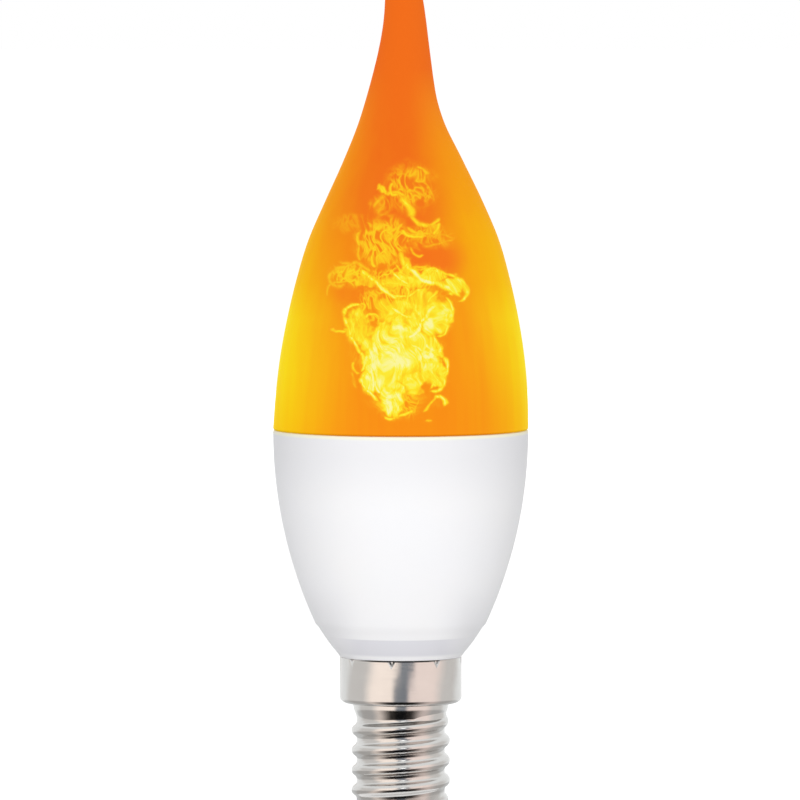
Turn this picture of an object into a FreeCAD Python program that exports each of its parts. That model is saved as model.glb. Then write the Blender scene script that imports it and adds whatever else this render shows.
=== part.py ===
import FreeCAD, Part
import math
import os
import re

import Sketcher
from FreeCAD import Placement, Rotation, Vector

# Tailed candle bulb with a small Edison screw cap. Millimetres, +Z up along the bulb.
# The origin is the centre of the end contact's face, and the front of the bulb looks along -Y.

# Each driving size: value and what it measures.
SIZES = {
    # Screw cap
    "cap_height": (25.0, "end contact to the collar's top rim"),
    "collar_diameter": (17.2, "outside of the smooth collar"),
    "collar_height": (6.5, "smooth collar, rim to shoulder"),
    "collar_corner": (0.8, "rounding between collar and shoulder"),
    "shell_wall": (0.25, "sheet thickness of the rolled shell"),
    "neck_diameter": (13.4, "plain band between shoulder and thread"),
    "neck_height": (1.4, "plain band, shoulder to its lower edge"),
    "neck_taper": (1.0, "height over which the band drops to the thread's root"),
    "thread_major": (13.89, "screw thread, over the crests"),
    "thread_minor": (12.29, "screw thread, over the roots"),
    "thread_pitch": (2.822, "nine turns to 25.4"),
    "thread_runout": (0.86, "neck to the middle of the highest crest"),
    "thread_start_angle": (-40.0, "where the lowest turn begins, degrees from +X"),
    "thread_start_height": (4.311, "end contact to the middle of the lowest crest"),
    "thread_root_flat": (0.04, "flat at the thread's root, above the minor radius"),
    "thread_inside_lag": (0.06, "turns by which the hollow stops short at each end"),
    "shell_bottom_height": (2.9, "end contact to the shell's lower edge"),
    "lip_radius": (0.9, "rounding that turns the shell's lower edge inwards"),
    "fit_gap": (0.05, "gap between pieces that seat in each other"),
    # Punched crimps that lock the collar on the housing
    "crimp_count": (8, "crimps round the collar"),
    "crimp_angle": (-98.5, "first crimp, degrees from +X"),
    "crimp_width": (1.2, "width at the rim"),
    "crimp_height": (1.1, "from the rim to the crimp's point"),
    "crimp_depth": (0.45, "depth below the collar's surface"),
    "crimp_tip": (0.3, "size of the punch's end, as a share of its face"),
    # End contact and insulator
    "insulator_bottom": (1.3, "end contact to the insulator's underside"),
    "insulator_bottom_diameter": (6.0, "insulator, underside"),
    "insulator_top": (7.0, "end contact to the insulator's top, inside"),
    "insulator_floor": (4.2, "end contact to the bottom of the insulator's cup"),
    "insulator_rim": (0.9, "rim of the insulator's cup"),
    "insulator_cup": (1.6, "radius at the bottom of the insulator's cup"),
    "eyelet_diameter": (4.8, "contact plate"),
    "eyelet_edge": (0.5, "straight rim of the contact plate"),
    "eyelet_bevel": (0.5, "bevel round the contact plate"),
    "eyelet_wall": (0.4, "wall of the contact plate's tube"),
    "eyelet_tube": (0.5, "tube above the floor of the insulator's cup"),
    "nail_diameter": (1.1, "shank of the contact nail"),
    "nail_head_diameter": (3.2, "head of the contact nail"),
    "nail_head_height": (0.45, "head of the contact nail"),
    "nail_head_bevel": (0.3, "bevel round the head"),
    "nail_tip": (0.3, "nail above the tube"),
    # Housing
    "seam_height": (57.1, "end contact to the seam under the diffuser"),
    "body_diameter": (36.0, "widest, at the seam"),
    "housing_curve": (64.8, "radius of the housing's side"),
    "housing_wall": (1.5, "housing wall"),
    "band_length": (3.4, "lower cone above the collar's rim"),
    "band_diameter": (22.9, "housing at the top of the lower cone"),
    "rim_gap": (0.15, "shadow gap between the collar's rim and the housing"),
    "rim_wall": (1.55, "housing wall round the diffuser's skirt"),
    "spigot_end": (9.5, "end contact to the housing's lower end, in the cap"),
    "spigot_wall": (1.25, "wall of the spigot inside the thread"),
    "spigot_bevel": (0.5, "bevel at the spigot's end"),
    "throat_cone": (1.0, "height of the cone from the spigot's bore to the throat"),
    "ledge_width": (1.2, "ledge that carries the light core"),
    "ledge_height": (1.2, "straight edge of the ledge"),
    "ledge_cone": (1.3, "height of the cone under the ledge"),
    "rail_reach": (9.4, "axis to the rails' inner faces"),
    "rail_width": (3.4, "rail, across"),
    "rail_length": (14.0, "rail, along the bulb"),
    "rail_groove": (0.9, "depth of the groove for the driver board"),
    "rail_foot": (1.0, "solid foot under the groove"),
    "lead_slot_gap": (0.2, "gap each side of the return lead in its slot"),
    "lead_slot_height": (7.0, "slot, from the spigot's end"),
    # Diffuser
    "diffuser_height": (67.9, "seam to the tail's tip"),
    "diffuser_wall": (1.2, "diffuser wall"),
    "diffuser_rim": (1.5, "seam to where the wall has its full bore"),
    "skirt_length": (3.0, "skirt that sits in the housing"),
    "snap_radius": (0.5, "snap bead on the skirt"),
    "snap_half": (0.4, "half height of the bead where it meets the skirt"),
    "snap_drop": (1.6, "seam to the bead's middle"),
    "tip_round": (1.2, "rounding of the tail's end"),
    "cavity_stations": (10, "stations of the outline that the bore follows"),
    # Light core
    "disc_gap": (0.15, "gap round the disc under the light core"),
    "disc_thickness": (1.2, "disc under the light core"),
    "core_flats": (15.0, "across the flats of the core"),
    "core_wall": (1.2, "wall of the core"),
    "core_height": (31.0, "core above its disc"),
    "core_sides": (8, "flats round the core"),
    "flex_thickness": (0.2, "flexible board round the core"),
    "flex_margin": (0.5, "flexible board's edges to the ends of the core"),
    "flex_slit": (0.8, "gap where the flexible board's ends meet"),
    "led_rows": (5, "rows of lamps up the core"),
    "led_margin": (2.5, "end rows' edges to the ends of the core"),
    "led_width": (2.8, "lamp package, across"),
    "led_height": (3.5, "lamp package, along the core"),
    "led_thickness": (0.7, "lamp package, off the board"),
    "window_margin": (0.35, "frame round a lamp's window"),
    "window_depth": (0.15, "depth of a lamp's window"),
    "top_board_overhang": (0.3, "round board beyond the core's flats"),
    "top_board_thickness": (1.0, "round board on top of the core"),
    "top_led_count": (4, "lamps on the round board"),
    "top_led_circle": (4.4, "axis to the middle of a top lamp"),
    # Driver
    "board_thickness": (1.0, "driver board"),
    "board_drop": (1.5, "rails' upper ends to the board's upper edge"),
    "board_side_gap": (0.3, "board to the rails' inner faces, below the groove"),
    "tongue_gap": (0.4, "tongue's corners to the spigot's bore"),
    "tongue_bottom": (15.0, "end contact to the tongue's lower edge"),
    "tongue_top": (27.4, "end contact to where the tongue widens"),
    "capacitor_diameter": (6.3, "smoothing capacitor"),
    "capacitor_length": (11.0, "smoothing capacitor"),
    "capacitor_drop": (0.5, "board's upper edge to the capacitor"),
    "capacitor_groove": (0.3, "depth of the rolled groove"),
    "choke_diameter": (5.0, "choke, flanges"),
    "choke_length": (5.0, "choke, off the board"),
    "choke_flange": (0.8, "thickness of a flange"),
    "choke_post": (2.0, "post inside the winding"),
    "choke_winding": (4.2, "outside of the winding"),
    "choke_side": (5.6, "bulb's axis to the choke's axis"),
    "choke_drop": (6.0, "board's upper edge to the choke's axis"),
    "resistor_diameter": (2.6, "fusible resistor"),
    "resistor_length": (7.0, "fusible resistor"),
    "resistor_wire": (0.6, "resistor's wires"),
    "resistor_side": (7.3, "bulb's axis to the resistor's axis"),
    "resistor_drop": (9.4, "board's upper edge to the resistor's lower end"),
    "bridge_length": (4.7, "bridge rectifier, along its legs"),
    "bridge_width": (3.9, "bridge rectifier, body across"),
    "bridge_thickness": (2.4, "bridge rectifier, body"),
    "bridge_leg_pitch": (2.54, "rectifier, leg to leg"),
    "bridge_legs": (2, "rectifier, legs on a side"),
    "bridge_drop": (16.2, "board's upper edge to the rectifier's middle"),
    "chip_length": (4.9, "eight-legged chip, along its legs"),
    "chip_width": (3.9, "eight-legged chip, body across"),
    "chip_thickness": (1.4, "eight-legged chip, body"),
    "chip_leg_pitch": (1.27, "chip, leg to leg"),
    "chip_legs": (4, "chip, legs on a side"),
    "chip_standoff": (0.1, "chip's body above the board"),
    "leg_reach": (1.05, "leg, out from the body"),
    "leg_knee": (0.3, "leg, out to its step"),
    "leg_width": (0.4, "leg"),
    "leg_thickness": (0.2, "leg"),
    "driver_chip_drop": (9.6, "board's upper edge to the driver chip's middle"),
    "flame_chip_drop": (3.4, "board's upper edge to the flame chip's middle"),
    "wire_diameter": (1.0, "insulated lead"),
    "wire_bend": (1.6, "bend radius of a lead, at its middle"),
    "wire_pad": (3.0, "a lead's overlap on the tongue"),
    "wire_straight": (1.0, "live lead below the tongue, before its bend"),
    "return_exit": (3.5, "spigot's end to the return lead"),
    "return_reach": (0.1, "return lead's end to the shell"),
    "supply_side": (5.0, "axis to a supply lead on the board"),
    "supply_core_side": (2.2, "axis to a supply lead in the core"),
    "supply_pad": (4.5, "a supply lead's overlap on the board"),
}

# The diffuser's outline, from the seam to the tip: share of its height, share of the widest
# radius, and how far the middle of the section stands towards +X.
DIFFUSER_OUTLINE = [
    (0.0, 1.0, 0.0),
    (0.0525, 0.9917, 0.1),
    (0.1469, 0.9611, 0.2),
    (0.2639, 0.8778, 0.3),
    (0.3808, 0.7711, 0.4),
    (0.4843, 0.61, 0.45),
    (0.5697, 0.4622, 0.35),
    (0.6537, 0.3278, 0.1),
    (0.7391, 0.2433, 0.25),
    (0.8231, 0.1867, 0.53),
    (0.8951, 0.1533, 0.5),
    (0.9535, 0.1278, 0.05),
    (1.0, 0.1056, -0.65),
]

doc = FreeCAD.newDocument("candle_bulb")
sheet = doc.addObject("Spreadsheet::Sheet", "Sizes")
cells = dict(SIZES)
for number, (height, radius, lean) in enumerate(DIFFUSER_OUTLINE):
    if number > 0:
        cells[f"station{number}_height"] = (height, "diffuser station, share of height")
        cells[f"station{number}_radius"] = (radius, "diffuser there, share of radius")
        cells[f"station{number}_lean"] = (lean, "diffuser's middle there, towards +X")
for row, (alias, (size, meaning)) in enumerate(cells.items(), start=1):
    sheet.set(f"A{row}", meaning)
    sheet.set(f"B{row}", str(size))
    sheet.setAlias(f"B{row}", alias)
doc.recompute()

WORDS = re.compile(r"[a-z][a-z0-9_]*")
subparts = {}


def bind(text):
    """The expression with each size's name pointed at its cell."""
    return WORDS.sub(lambda m: f"Sizes.{m[0]}" if m[0] in cells else m[0], str(text))


def value(text):
    """The number that an expression of sizes gives now."""
    return float(sheet.evalExpression(bind(text)))


def subpart(label, thing):
    """Registers a finished piece under the name of its node."""
    thing.Label = label
    subparts[label] = thing
    return thing


def origin_part(body, role):
    """One of a body's own origin planes or axes."""
    return next(f for f in body.Origin.OriginFeatures if f.Role == role)


def new_body(name, many=False):
    """An empty body for one piece, or for several equal ones."""
    body = doc.addObject("PartDesign::Body", name)
    body.AllowCompound = many
    return body


def place(body, x="0", y="0", z="0", rotation=None):
    """Moves a body, modelled about its own axis, to its seat."""
    where = Vector(value(x), value(y), value(z))
    body.Placement = Placement(where, rotation or Rotation())
    for axis, text in zip("xyz", (x, y, z)):
        if text != "0":
            body.setExpression(f"Placement.Base.{axis}", bind(text))


def new_sketch(body, name, role="XZ_Plane", offset="0", turn="0"):
    """A sketch on an origin plane. An upright one may be turned about the bulb's axis first
    and then moved out along its normal."""
    sketch = body.newObject("Sketcher::SketchObject", name)
    sketch.AttachmentSupport = [(origin_part(body, role), "")]
    sketch.MapMode = "FlatFace"
    upright = role != "XY_Plane"
    across = f"({offset}) * sin({turn})" if upright and turn != "0" else "0"
    out = f"({offset}) * cos({turn})" if upright and turn != "0" else offset
    sketch.AttachmentOffset = Placement(
        Vector(value(across), 0, value(out)),
        Rotation(Vector(0, 1, 0) if upright else Vector(0, 0, 1), value(turn)),
    )
    if across != "0" and offset != "0":
        sketch.setExpression("AttachmentOffset.Base.x", bind(across))
    if offset != "0":
        sketch.setExpression("AttachmentOffset.Base.z", bind(out))
    if turn != "0":
        sketch.setExpression("AttachmentOffset.Rotation.Angle", bind(turn))
    return sketch


def pin_point(sketch, edge, end, x, y):
    """Holds a point of the sketch at two expressions of sizes."""
    for kind, text, axis in (("DistanceX", x, -2), ("DistanceY", y, -1)):
        if text == "0":
            sketch.addConstraint(Sketcher.Constraint("PointOnObject", edge, end, axis))
            continue
        held = sketch.addConstraint(
            Sketcher.Constraint(kind, -1, 1, edge, end, value(text))
        )
        sketch.setExpression(f"Constraints[{held}]", bind(text))


def outline(sketch, corners, closed=True):
    """Draws lines and arcs through corners. A corner is (x, y), or (x, y, radius, side) where
    the edge that leaves it is an arc: side is 1 if its middle lies to the left of the way on."""
    points = [Vector(value(c[0]), value(c[1]), 0) for c in corners]
    count = len(corners) if closed else len(corners) - 1
    ends = []
    for i in range(count):
        a, b = points[i], points[(i + 1) % len(points)]
        if len(corners[i]) == 2:
            edge = sketch.addGeometry(Part.LineSegment(a, b))
            ends.append((edge, 1, 2))
            continue
        radius, side = value(corners[i][2]), corners[i][3]
        chord = b - a
        left = Vector(-chord.y, chord.x, 0).normalize()
        rise = math.sqrt(max(radius**2 - (chord.Length / 2) ** 2, 0.0))
        middle = (a + b) * 0.5 + left * (rise * side)
        first, last = (a, b) if side > 0 else (b, a)
        start = math.atan2(first.y - middle.y, first.x - middle.x)
        stop = math.atan2(last.y - middle.y, last.x - middle.x)
        round_edge = Part.Circle(middle, Vector(0, 0, 1), radius)
        edge = sketch.addGeometry(Part.ArcOfCircle(round_edge, start, stop))
        ends.append((edge, 1, 2) if side > 0 else (edge, 2, 1))
    for i, (edge, first, last) in enumerate(ends):
        pin_point(sketch, edge, first, corners[i][0], corners[i][1])
        if i + 1 < len(ends) or closed:
            after = ends[(i + 1) % len(ends)]
            sketch.addConstraint(
                Sketcher.Constraint("Coincident", edge, last, after[0], after[1])
            )
        else:
            pin_point(sketch, edge, last, corners[-1][0], corners[-1][1])
        if len(corners[i]) == 4:
            held = sketch.addConstraint(
                Sketcher.Constraint("Radius", edge, value(corners[i][2]))
            )
            sketch.setExpression(f"Constraints[{held}]", bind(corners[i][2]))
    return sketch


def box_outline(sketch, left, right, low, high):
    """Draws a rectangle between two widths and two heights."""
    return outline(sketch, [(left, low), (right, low), (right, high), (left, high)])


def circle(sketch, radius, x="0", y="0"):
    """Draws a circle whose middle and radius follow the sizes."""
    edge = sketch.addGeometry(
        Part.Circle(Vector(value(x), value(y), 0), Vector(0, 0, 1), value(radius))
    )
    pin_point(sketch, edge, 3, x, y)
    held = sketch.addConstraint(Sketcher.Constraint("Radius", edge, value(radius)))
    sketch.setExpression(f"Constraints[{held}]", bind(radius))
    return sketch


def polygon(sketch, flats, sides):
    """Draws a regular outline round the axis, its first flat facing the sketch's x."""
    half_turn = f"180 / {sides}"
    reach = f"({flats}) / 2 / cos({half_turn})"
    corners = []
    for k in range(int(value(sides))):
        angle = f"(2 * {k} - 1) * {half_turn}"
        corners.append((f"{reach} * cos({angle})", f"{reach} * sin({angle})"))
    return outline(sketch, corners)


def changed(body, feature, grows):
    """Recomputes a new feature and stops the build if it added or cut nothing."""
    base = feature.BaseFeature or body.Tip
    before = base.Shape.Volume if base and base.Name != feature.Name else 0.0
    doc.recompute()
    after = feature.Shape.Volume
    if (after > before) != grows or abs(after - before) < 1e-4:
        raise RuntimeError(f"{body.Name}: {feature.Name} changed nothing")
    body.Tip = feature
    return feature


def revolve(body, name, corners, cut=False):
    """A turned solid, or a turned cut, from a half section of radius and height."""
    sketch = outline(new_sketch(body, name + "_section"), corners)
    kind = "Groove" if cut else "Revolution"
    turned = body.newObject("PartDesign::" + kind, name)
    turned.Profile = sketch
    turned.ReferenceAxis = (sketch, ["V_Axis"])
    turned.Angle = 360
    return changed(body, turned, not cut)


def extrude(body, name, sketch, length, cut=False, middle=False, reverse=False):
    """A pad, or a pocket, of a sketch. Its length is bound to the sizes."""
    kind = "Pocket" if cut else "Pad"
    feature = body.newObject("PartDesign::" + kind, name)
    feature.Profile = sketch
    feature.Length = value(length)
    feature.setExpression("Length", bind(length))
    if middle:
        feature.SideType = "Symmetric"
    feature.Reversed = reverse
    return changed(body, feature, not cut)


def loft(body, name, sketches, cut=False, ruled=False):
    """A loft, or a lofted cut, through sketches, the first of them as its profile."""
    kind = "SubtractiveLoft" if cut else "AdditiveLoft"
    feature = body.newObject("PartDesign::" + kind, name)
    feature.Profile = sketches[0]
    feature.Sections = sketches[1:]
    feature.Ruled = ruled
    return changed(body, feature, not cut)


def around(body, name, features, count, grows=True):
    """Repeats features round the bulb's axis."""
    pattern = body.newObject("PartDesign::PolarPattern", name)
    pattern.Originals = features
    pattern.Axis = (origin_part(body, "Z_Axis"), [""])
    pattern.Angle = 360
    pattern.Occurrences = int(value(count))
    pattern.setExpression("Occurrences", bind(count))
    return changed(body, pattern, grows)


# Expressions that several pieces share
COLLAR_BOTTOM = "(cap_height - collar_height)"
NECK_BOTTOM = f"({COLLAR_BOTTOM} - neck_height)"
CORE_RADIUS = "(thread_minor / 2 + thread_root_flat)"
SHELL_BORE = f"({CORE_RADIUS} - shell_wall)"
LIP = f"({CORE_RADIUS} - lip_radius)"
THREAD_DEPTH = "((thread_major - thread_minor) / 2)"
ROUND = f"((thread_pitch ^ 2 / 4 + {THREAD_DEPTH} ^ 2) / (4 * {THREAD_DEPTH}))"
THREAD_LENGTH = f"({NECK_BOTTOM} - thread_start_height - thread_runout)"

NAIL_HOLE = "(nail_diameter / 2 + fit_gap)"
TUBE = f"({NAIL_HOLE} + eyelet_wall)"
TUBE_TOP = "(insulator_floor + eyelet_tube)"
NAIL_TOP = f"({TUBE_TOP} + nail_tip)"

SPIGOT = f"({SHELL_BORE} - fit_gap)"
SPIGOT_BORE = f"({SPIGOT} - spigot_wall)"
SHOULDER = f"({COLLAR_BOTTOM} + shell_wall + fit_gap)"
PLUG = "(collar_diameter / 2 - shell_wall - fit_gap)"
THROAT = f"({PLUG} - housing_wall)"
RIM = "(cap_height + rim_gap)"
BAND_TOP = "(cap_height + band_length)"
HOUSING_TOP = "(seam_height - fit_gap)"
SKIRT = "(body_diameter / 2 - rim_wall - fit_gap)"
SKIRT_BORE = f"({SKIRT} - diffuser_wall)"
SKIRT_END = "(seam_height - skirt_length)"
DISC_TOP = f"({SKIRT_END} - 2 * fit_gap)"
LEDGE_TOP = f"({DISC_TOP} - disc_thickness)"
RAIL_TOP = f"({LEDGE_TOP} - ledge_height - ledge_cone)"
RAIL_BOTTOM = f"({RAIL_TOP} - rail_length)"
SEAT = f"({RAIL_BOTTOM} + rail_foot)"

TAIL_END = "(seam_height + diffuser_height - tip_round)"

CHORD_X = "((body_diameter - band_diameter) / 2)"
CHORD_Z = f"({HOUSING_TOP} - {BAND_TOP})"
CHORD = f"sqrt({CHORD_X} ^ 2 + {CHORD_Z} ^ 2)"
RISE = f"sqrt(housing_curve ^ 2 - ({CHORD_X} ^ 2 + {CHORD_Z} ^ 2) / 4)"
CURVE_X = f"((body_diameter + band_diameter) / 4 - {RISE} * {CHORD_Z} / {CHORD})"
CURVE_Z = f"(({HOUSING_TOP} + {BAND_TOP}) / 2 + {RISE} * {CHORD_X} / {CHORD})"

CORE_TOP = f"({DISC_TOP} + core_height)"
LAMP_SEAT = "(core_flats / 2 + flex_thickness)"
TOP_BOARD_TOP = f"({CORE_TOP} + top_board_thickness)"
BOARD_TOP = f"({RAIL_TOP} - board_drop)"
BOARD_FACE = "(board_thickness / 2)"
WIRE_Y = f"({BOARD_FACE} + wire_diameter / 2 + fit_gap)"
PAD_TOP = "(tongue_bottom + wire_pad)"


def inner_wall(height):
    """The radius of the housing's inside at a height."""
    drop = f"({height} - {CURVE_Z})"
    return f"({CURVE_X} + sqrt((housing_curve - housing_wall) ^ 2 - {drop} ^ 2))"


def thread_profile(sketch, wall):
    """A turn's section: the outside where wall is 0, or the hollow under a sheet of that wall."""
    lag = "0" if wall == "0" else "thread_inside_lag * thread_pitch"
    middle = f"(thread_start_height + {lag})"
    crest = f"({ROUND} - {wall})"
    root = f"({ROUND} + {wall})"
    lean = f"((2 * {ROUND} - {THREAD_DEPTH}) / (2 * {ROUND}))"
    join_x = f"thread_major / 2 - {ROUND} + {crest} * {lean}"
    join_y = f"{crest} * thread_pitch / (4 * {ROUND})"
    bite = "thread_root_flat / 4"
    foot_x = f"thread_minor / 2 - {wall} + {bite}"
    foot_y = f"(thread_pitch / 2 - sqrt({root} ^ 2 - ({root} - {bite}) ^ 2))"
    heel_x = f"thread_minor / 2 - {wall} - shell_wall / 2"
    return outline(
        sketch,
        [
            (heel_x, f"{middle} - {foot_y}"),
            (foot_x, f"{middle} - {foot_y}", root, -1),
            (join_x, f"{middle} - {join_y}", crest, 1),
            (join_x, f"{middle} + {join_y}", root, -1),
            (foot_x, f"{middle} + {foot_y}"),
            (heel_x, f"{middle} + {foot_y}"),
        ],
    )


def helix(body, name, sketch, height, cut):
    """A right-handed helical sweep of a thread's section."""
    kind = "SubtractiveHelix" if cut else "AdditiveHelix"
    swept = body.newObject("PartDesign::" + kind, name)
    swept.Profile = sketch
    swept.ReferenceAxis = (sketch, ["V_Axis"])
    swept.Mode = "pitch-height-angle"
    swept.Pitch = value("thread_pitch")
    swept.setExpression("Pitch", bind("thread_pitch"))
    swept.Height = value(height)
    swept.setExpression("Height", bind(height))
    swept.Angle = 0
    swept.LeftHanded = False
    return changed(body, swept, not cut)


def crimp(body, name, face, back, grow, top, cut):
    """A three-cornered punch mark, narrowing inwards from the radius face to the radius back."""
    sketches = []
    for number, (radius, share) in enumerate(((face, "1"), (back, "crimp_tip"))):
        half = f"(crimp_width / 2 + {grow}) * {share}"
        low = f"cap_height - (crimp_height + {grow}) * {share}"
        sketch = new_sketch(
            body, f"{name}_face{number}", "YZ_Plane", offset=radius, turn="crimp_angle"
        )
        outline(sketch, [(f"-{half}", top), ("0", low), (half, top)])
        sketches.append(sketch)
    return loft(body, name, sketches, cut, ruled=True)


# Screw shell: rolled sheet with a collar, a knuckle thread and punched crimps
def make_screw_shell():
    body = new_body("screw_shell_body")
    collar = "collar_diameter / 2"
    lip_top = "shell_bottom_height + lip_radius"
    revolve(
        body,
        "shell_sheet",
        [
            (LIP, "shell_bottom_height", "lip_radius", 1),
            (CORE_RADIUS, lip_top),
            (CORE_RADIUS, f"{NECK_BOTTOM} - neck_taper"),
            ("neck_diameter / 2", NECK_BOTTOM),
            ("neck_diameter / 2", COLLAR_BOTTOM),
            (f"{collar} - collar_corner", COLLAR_BOTTOM, "collar_corner", 1),
            (collar, f"{COLLAR_BOTTOM} + collar_corner"),
            (collar, "cap_height"),
            (f"{collar} - shell_wall", "cap_height"),
            (
                f"{collar} - shell_wall",
                f"{COLLAR_BOTTOM} + collar_corner",
                "collar_corner - shell_wall",
                -1,
            ),
            (f"{collar} - collar_corner", f"{COLLAR_BOTTOM} + shell_wall"),
            ("neck_diameter / 2 - shell_wall", f"{COLLAR_BOTTOM} + shell_wall"),
            ("neck_diameter / 2 - shell_wall", NECK_BOTTOM),
            (SHELL_BORE, f"{NECK_BOTTOM} - neck_taper"),
            (SHELL_BORE, lip_top, "lip_radius - shell_wall", -1),
            (LIP, "shell_bottom_height + shell_wall"),
        ],
    )
    ridge = new_sketch(body, "thread_section", turn="thread_start_angle")
    thread_profile(ridge, "0")
    helix(body, "thread_ridge", ridge, THREAD_LENGTH, False)
    lag_angle = "thread_start_angle + 360 * thread_inside_lag"
    hollow = new_sketch(body, "thread_hollow_section", turn=lag_angle)
    thread_profile(hollow, "shell_wall")
    hollow_length = f"{THREAD_LENGTH} - 2 * thread_inside_lag * thread_pitch"
    helix(body, "thread_hollow", hollow, hollow_length, True)

    punched = crimp(
        body,
        "crimp_sheet",
        f"{collar} - shell_wall * 0.4",
        f"{collar} - crimp_depth - shell_wall",
        "shell_wall * 0.8",
        "cap_height",
        False,
    )
    around(body, "crimp_sheets", [punched], "crimp_count")
    mark = crimp(
        body,
        "crimp_mark",
        f"{collar} + fit_gap",
        f"{collar} - crimp_depth",
        "0",
        "cap_height + fit_gap",
        True,
    )
    around(body, "crimp_marks", [mark], "crimp_count", False)
    return subpart("screw_shell", body)


# Insulator: a black cup that fills the lower end of the shell
def make_insulator():
    body = new_body("insulator_body")
    above_lip = "shell_bottom_height + shell_wall + fit_gap"
    revolve(
        body,
        "insulator_cup_solid",
        [
            (f"{TUBE} + fit_gap", "insulator_bottom"),
            ("insulator_bottom_diameter / 2", "insulator_bottom"),
            (f"{LIP} - fit_gap", "shell_bottom_height"),
            (f"{LIP} - fit_gap", above_lip),
            (LIP, above_lip, "lip_radius - shell_wall - fit_gap", 1),
            (SPIGOT, "shell_bottom_height + lip_radius"),
            (SPIGOT, "insulator_top"),
            (f"{SPIGOT} - insulator_rim", "insulator_top"),
            ("insulator_cup", "insulator_floor"),
            (f"{TUBE} + fit_gap", "insulator_floor"),
        ],
    )
    return subpart("insulator", body)


# End contact: a plate with a tube through the insulator, and the nail pressed into it
def make_contacts():
    body = new_body("contact_eyelet_body")
    revolve(
        body,
        "eyelet_plate",
        [
            (NAIL_HOLE, "nail_head_height"),
            ("eyelet_diameter / 2 - eyelet_bevel", "nail_head_height"),
            ("eyelet_diameter / 2", "insulator_bottom - eyelet_edge"),
            ("eyelet_diameter / 2", "insulator_bottom"),
            (TUBE, "insulator_bottom"),
            (TUBE, TUBE_TOP),
            (NAIL_HOLE, TUBE_TOP),
        ],
    )
    subpart("contact_eyelet", body)

    body = new_body("contact_nail_body")
    revolve(
        body,
        "nail",
        [
            ("0", "0"),
            ("nail_head_diameter / 2 - nail_head_bevel", "0"),
            ("nail_head_diameter / 2", "nail_head_bevel"),
            ("nail_head_diameter / 2", "nail_head_height"),
            ("nail_diameter / 2", "nail_head_height"),
            ("nail_diameter / 2", NAIL_TOP),
            ("0", NAIL_TOP),
        ],
    )
    subpart("contact_nail", body)


# Housing: moulded shell with a spigot for the cap, a ledge for the light core and board rails
def make_housing():
    body = new_body("housing_body")
    slope = f"(({BAND_TOP} - {RIM}) / (band_diameter / 2 - collar_diameter / 2))"
    throat_top = (
        f"({RIM} + ({THROAT} - collar_diameter / 2) * {slope}"
        f" + housing_wall * sqrt(1 + {slope} ^ 2))"
    )
    wall_foot = f"({BAND_TOP} + housing_wall / 4)"
    groove_rise = (
        "sqrt((snap_radius + fit_gap) ^ 2"
        " - (sqrt(snap_radius ^ 2 - snap_half ^ 2) + fit_gap) ^ 2)"
    )
    bead = "(seam_height - snap_drop)"
    pocket = f"({SKIRT} + fit_gap)"
    floor = f"({SHOULDER} + housing_wall)"
    inside = "housing_curve - housing_wall"
    revolve(
        body,
        "housing_wall_solid",
        [
            (f"{SPIGOT} - spigot_bevel", "spigot_end"),
            (SPIGOT, "spigot_end + spigot_bevel"),
            (SPIGOT, SHOULDER),
            (
                "collar_diameter / 2 - collar_corner",
                SHOULDER,
                "collar_corner - shell_wall - fit_gap",
                1,
            ),
            (PLUG, f"{COLLAR_BOTTOM} + collar_corner"),
            (PLUG, RIM),
            ("collar_diameter / 2", RIM),
            ("band_diameter / 2", BAND_TOP, "housing_curve", 1),
            ("body_diameter / 2", HOUSING_TOP),
            (pocket, HOUSING_TOP),
            (pocket, f"{bead} + {groove_rise}", "snap_radius + fit_gap", -1),
            (pocket, f"{bead} - {groove_rise}"),
            (pocket, LEDGE_TOP),
            (f"{pocket} - ledge_width", LEDGE_TOP),
            (f"{pocket} - ledge_width", f"{LEDGE_TOP} - ledge_height"),
            (inner_wall(RAIL_TOP), RAIL_TOP, inside, -1),
            (inner_wall(wall_foot), wall_foot),
            (THROAT, throat_top),
            (THROAT, f"{floor} + throat_cone"),
            (SPIGOT_BORE, floor),
            (SPIGOT_BORE, "spigot_end"),
        ],
    )
    bite = "housing_wall * 0.4"
    rail = outline(
        new_sketch(body, "rail_outline"),
        [
            ("rail_reach", RAIL_BOTTOM),
            (f"{inner_wall(RAIL_BOTTOM)} + {bite}", RAIL_BOTTOM),
            (f"{inner_wall(RAIL_TOP)} + {bite}", RAIL_TOP),
            ("rail_reach", RAIL_TOP),
        ],
    )
    solid = extrude(body, "rail", rail, "rail_width", middle=True)
    groove = box_outline(
        new_sketch(body, "rail_groove_outline"),
        "rail_reach - rail_foot",
        "rail_reach + rail_groove",
        SEAT,
        f"{RAIL_TOP} + rail_foot",
    )
    width = "board_thickness + 2 * fit_gap"
    cut = extrude(body, "rail_slot", groove, width, cut=True, middle=True)
    around(body, "rails", [solid, cut], "2")

    slot = box_outline(
        new_sketch(body, "lead_slot_outline"),
        "-(wire_diameter / 2 + lead_slot_gap)",
        "wire_diameter / 2 + lead_slot_gap",
        "spigot_end - spigot_bevel",
        "spigot_end + lead_slot_height",
    )
    extrude(body, "lead_slot", slot, f"{SPIGOT} + spigot_bevel", cut=True)

    pocketed = crimp(
        body,
        "crimp_pocket",
        "collar_diameter / 2",
        "collar_diameter / 2 - crimp_depth - shell_wall - fit_gap",
        "(shell_wall + fit_gap)",
        "cap_height + fit_gap",
        True,
    )
    around(body, "crimp_pockets", [pocketed], "crimp_count", False)
    return subpart("housing", body)


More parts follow.
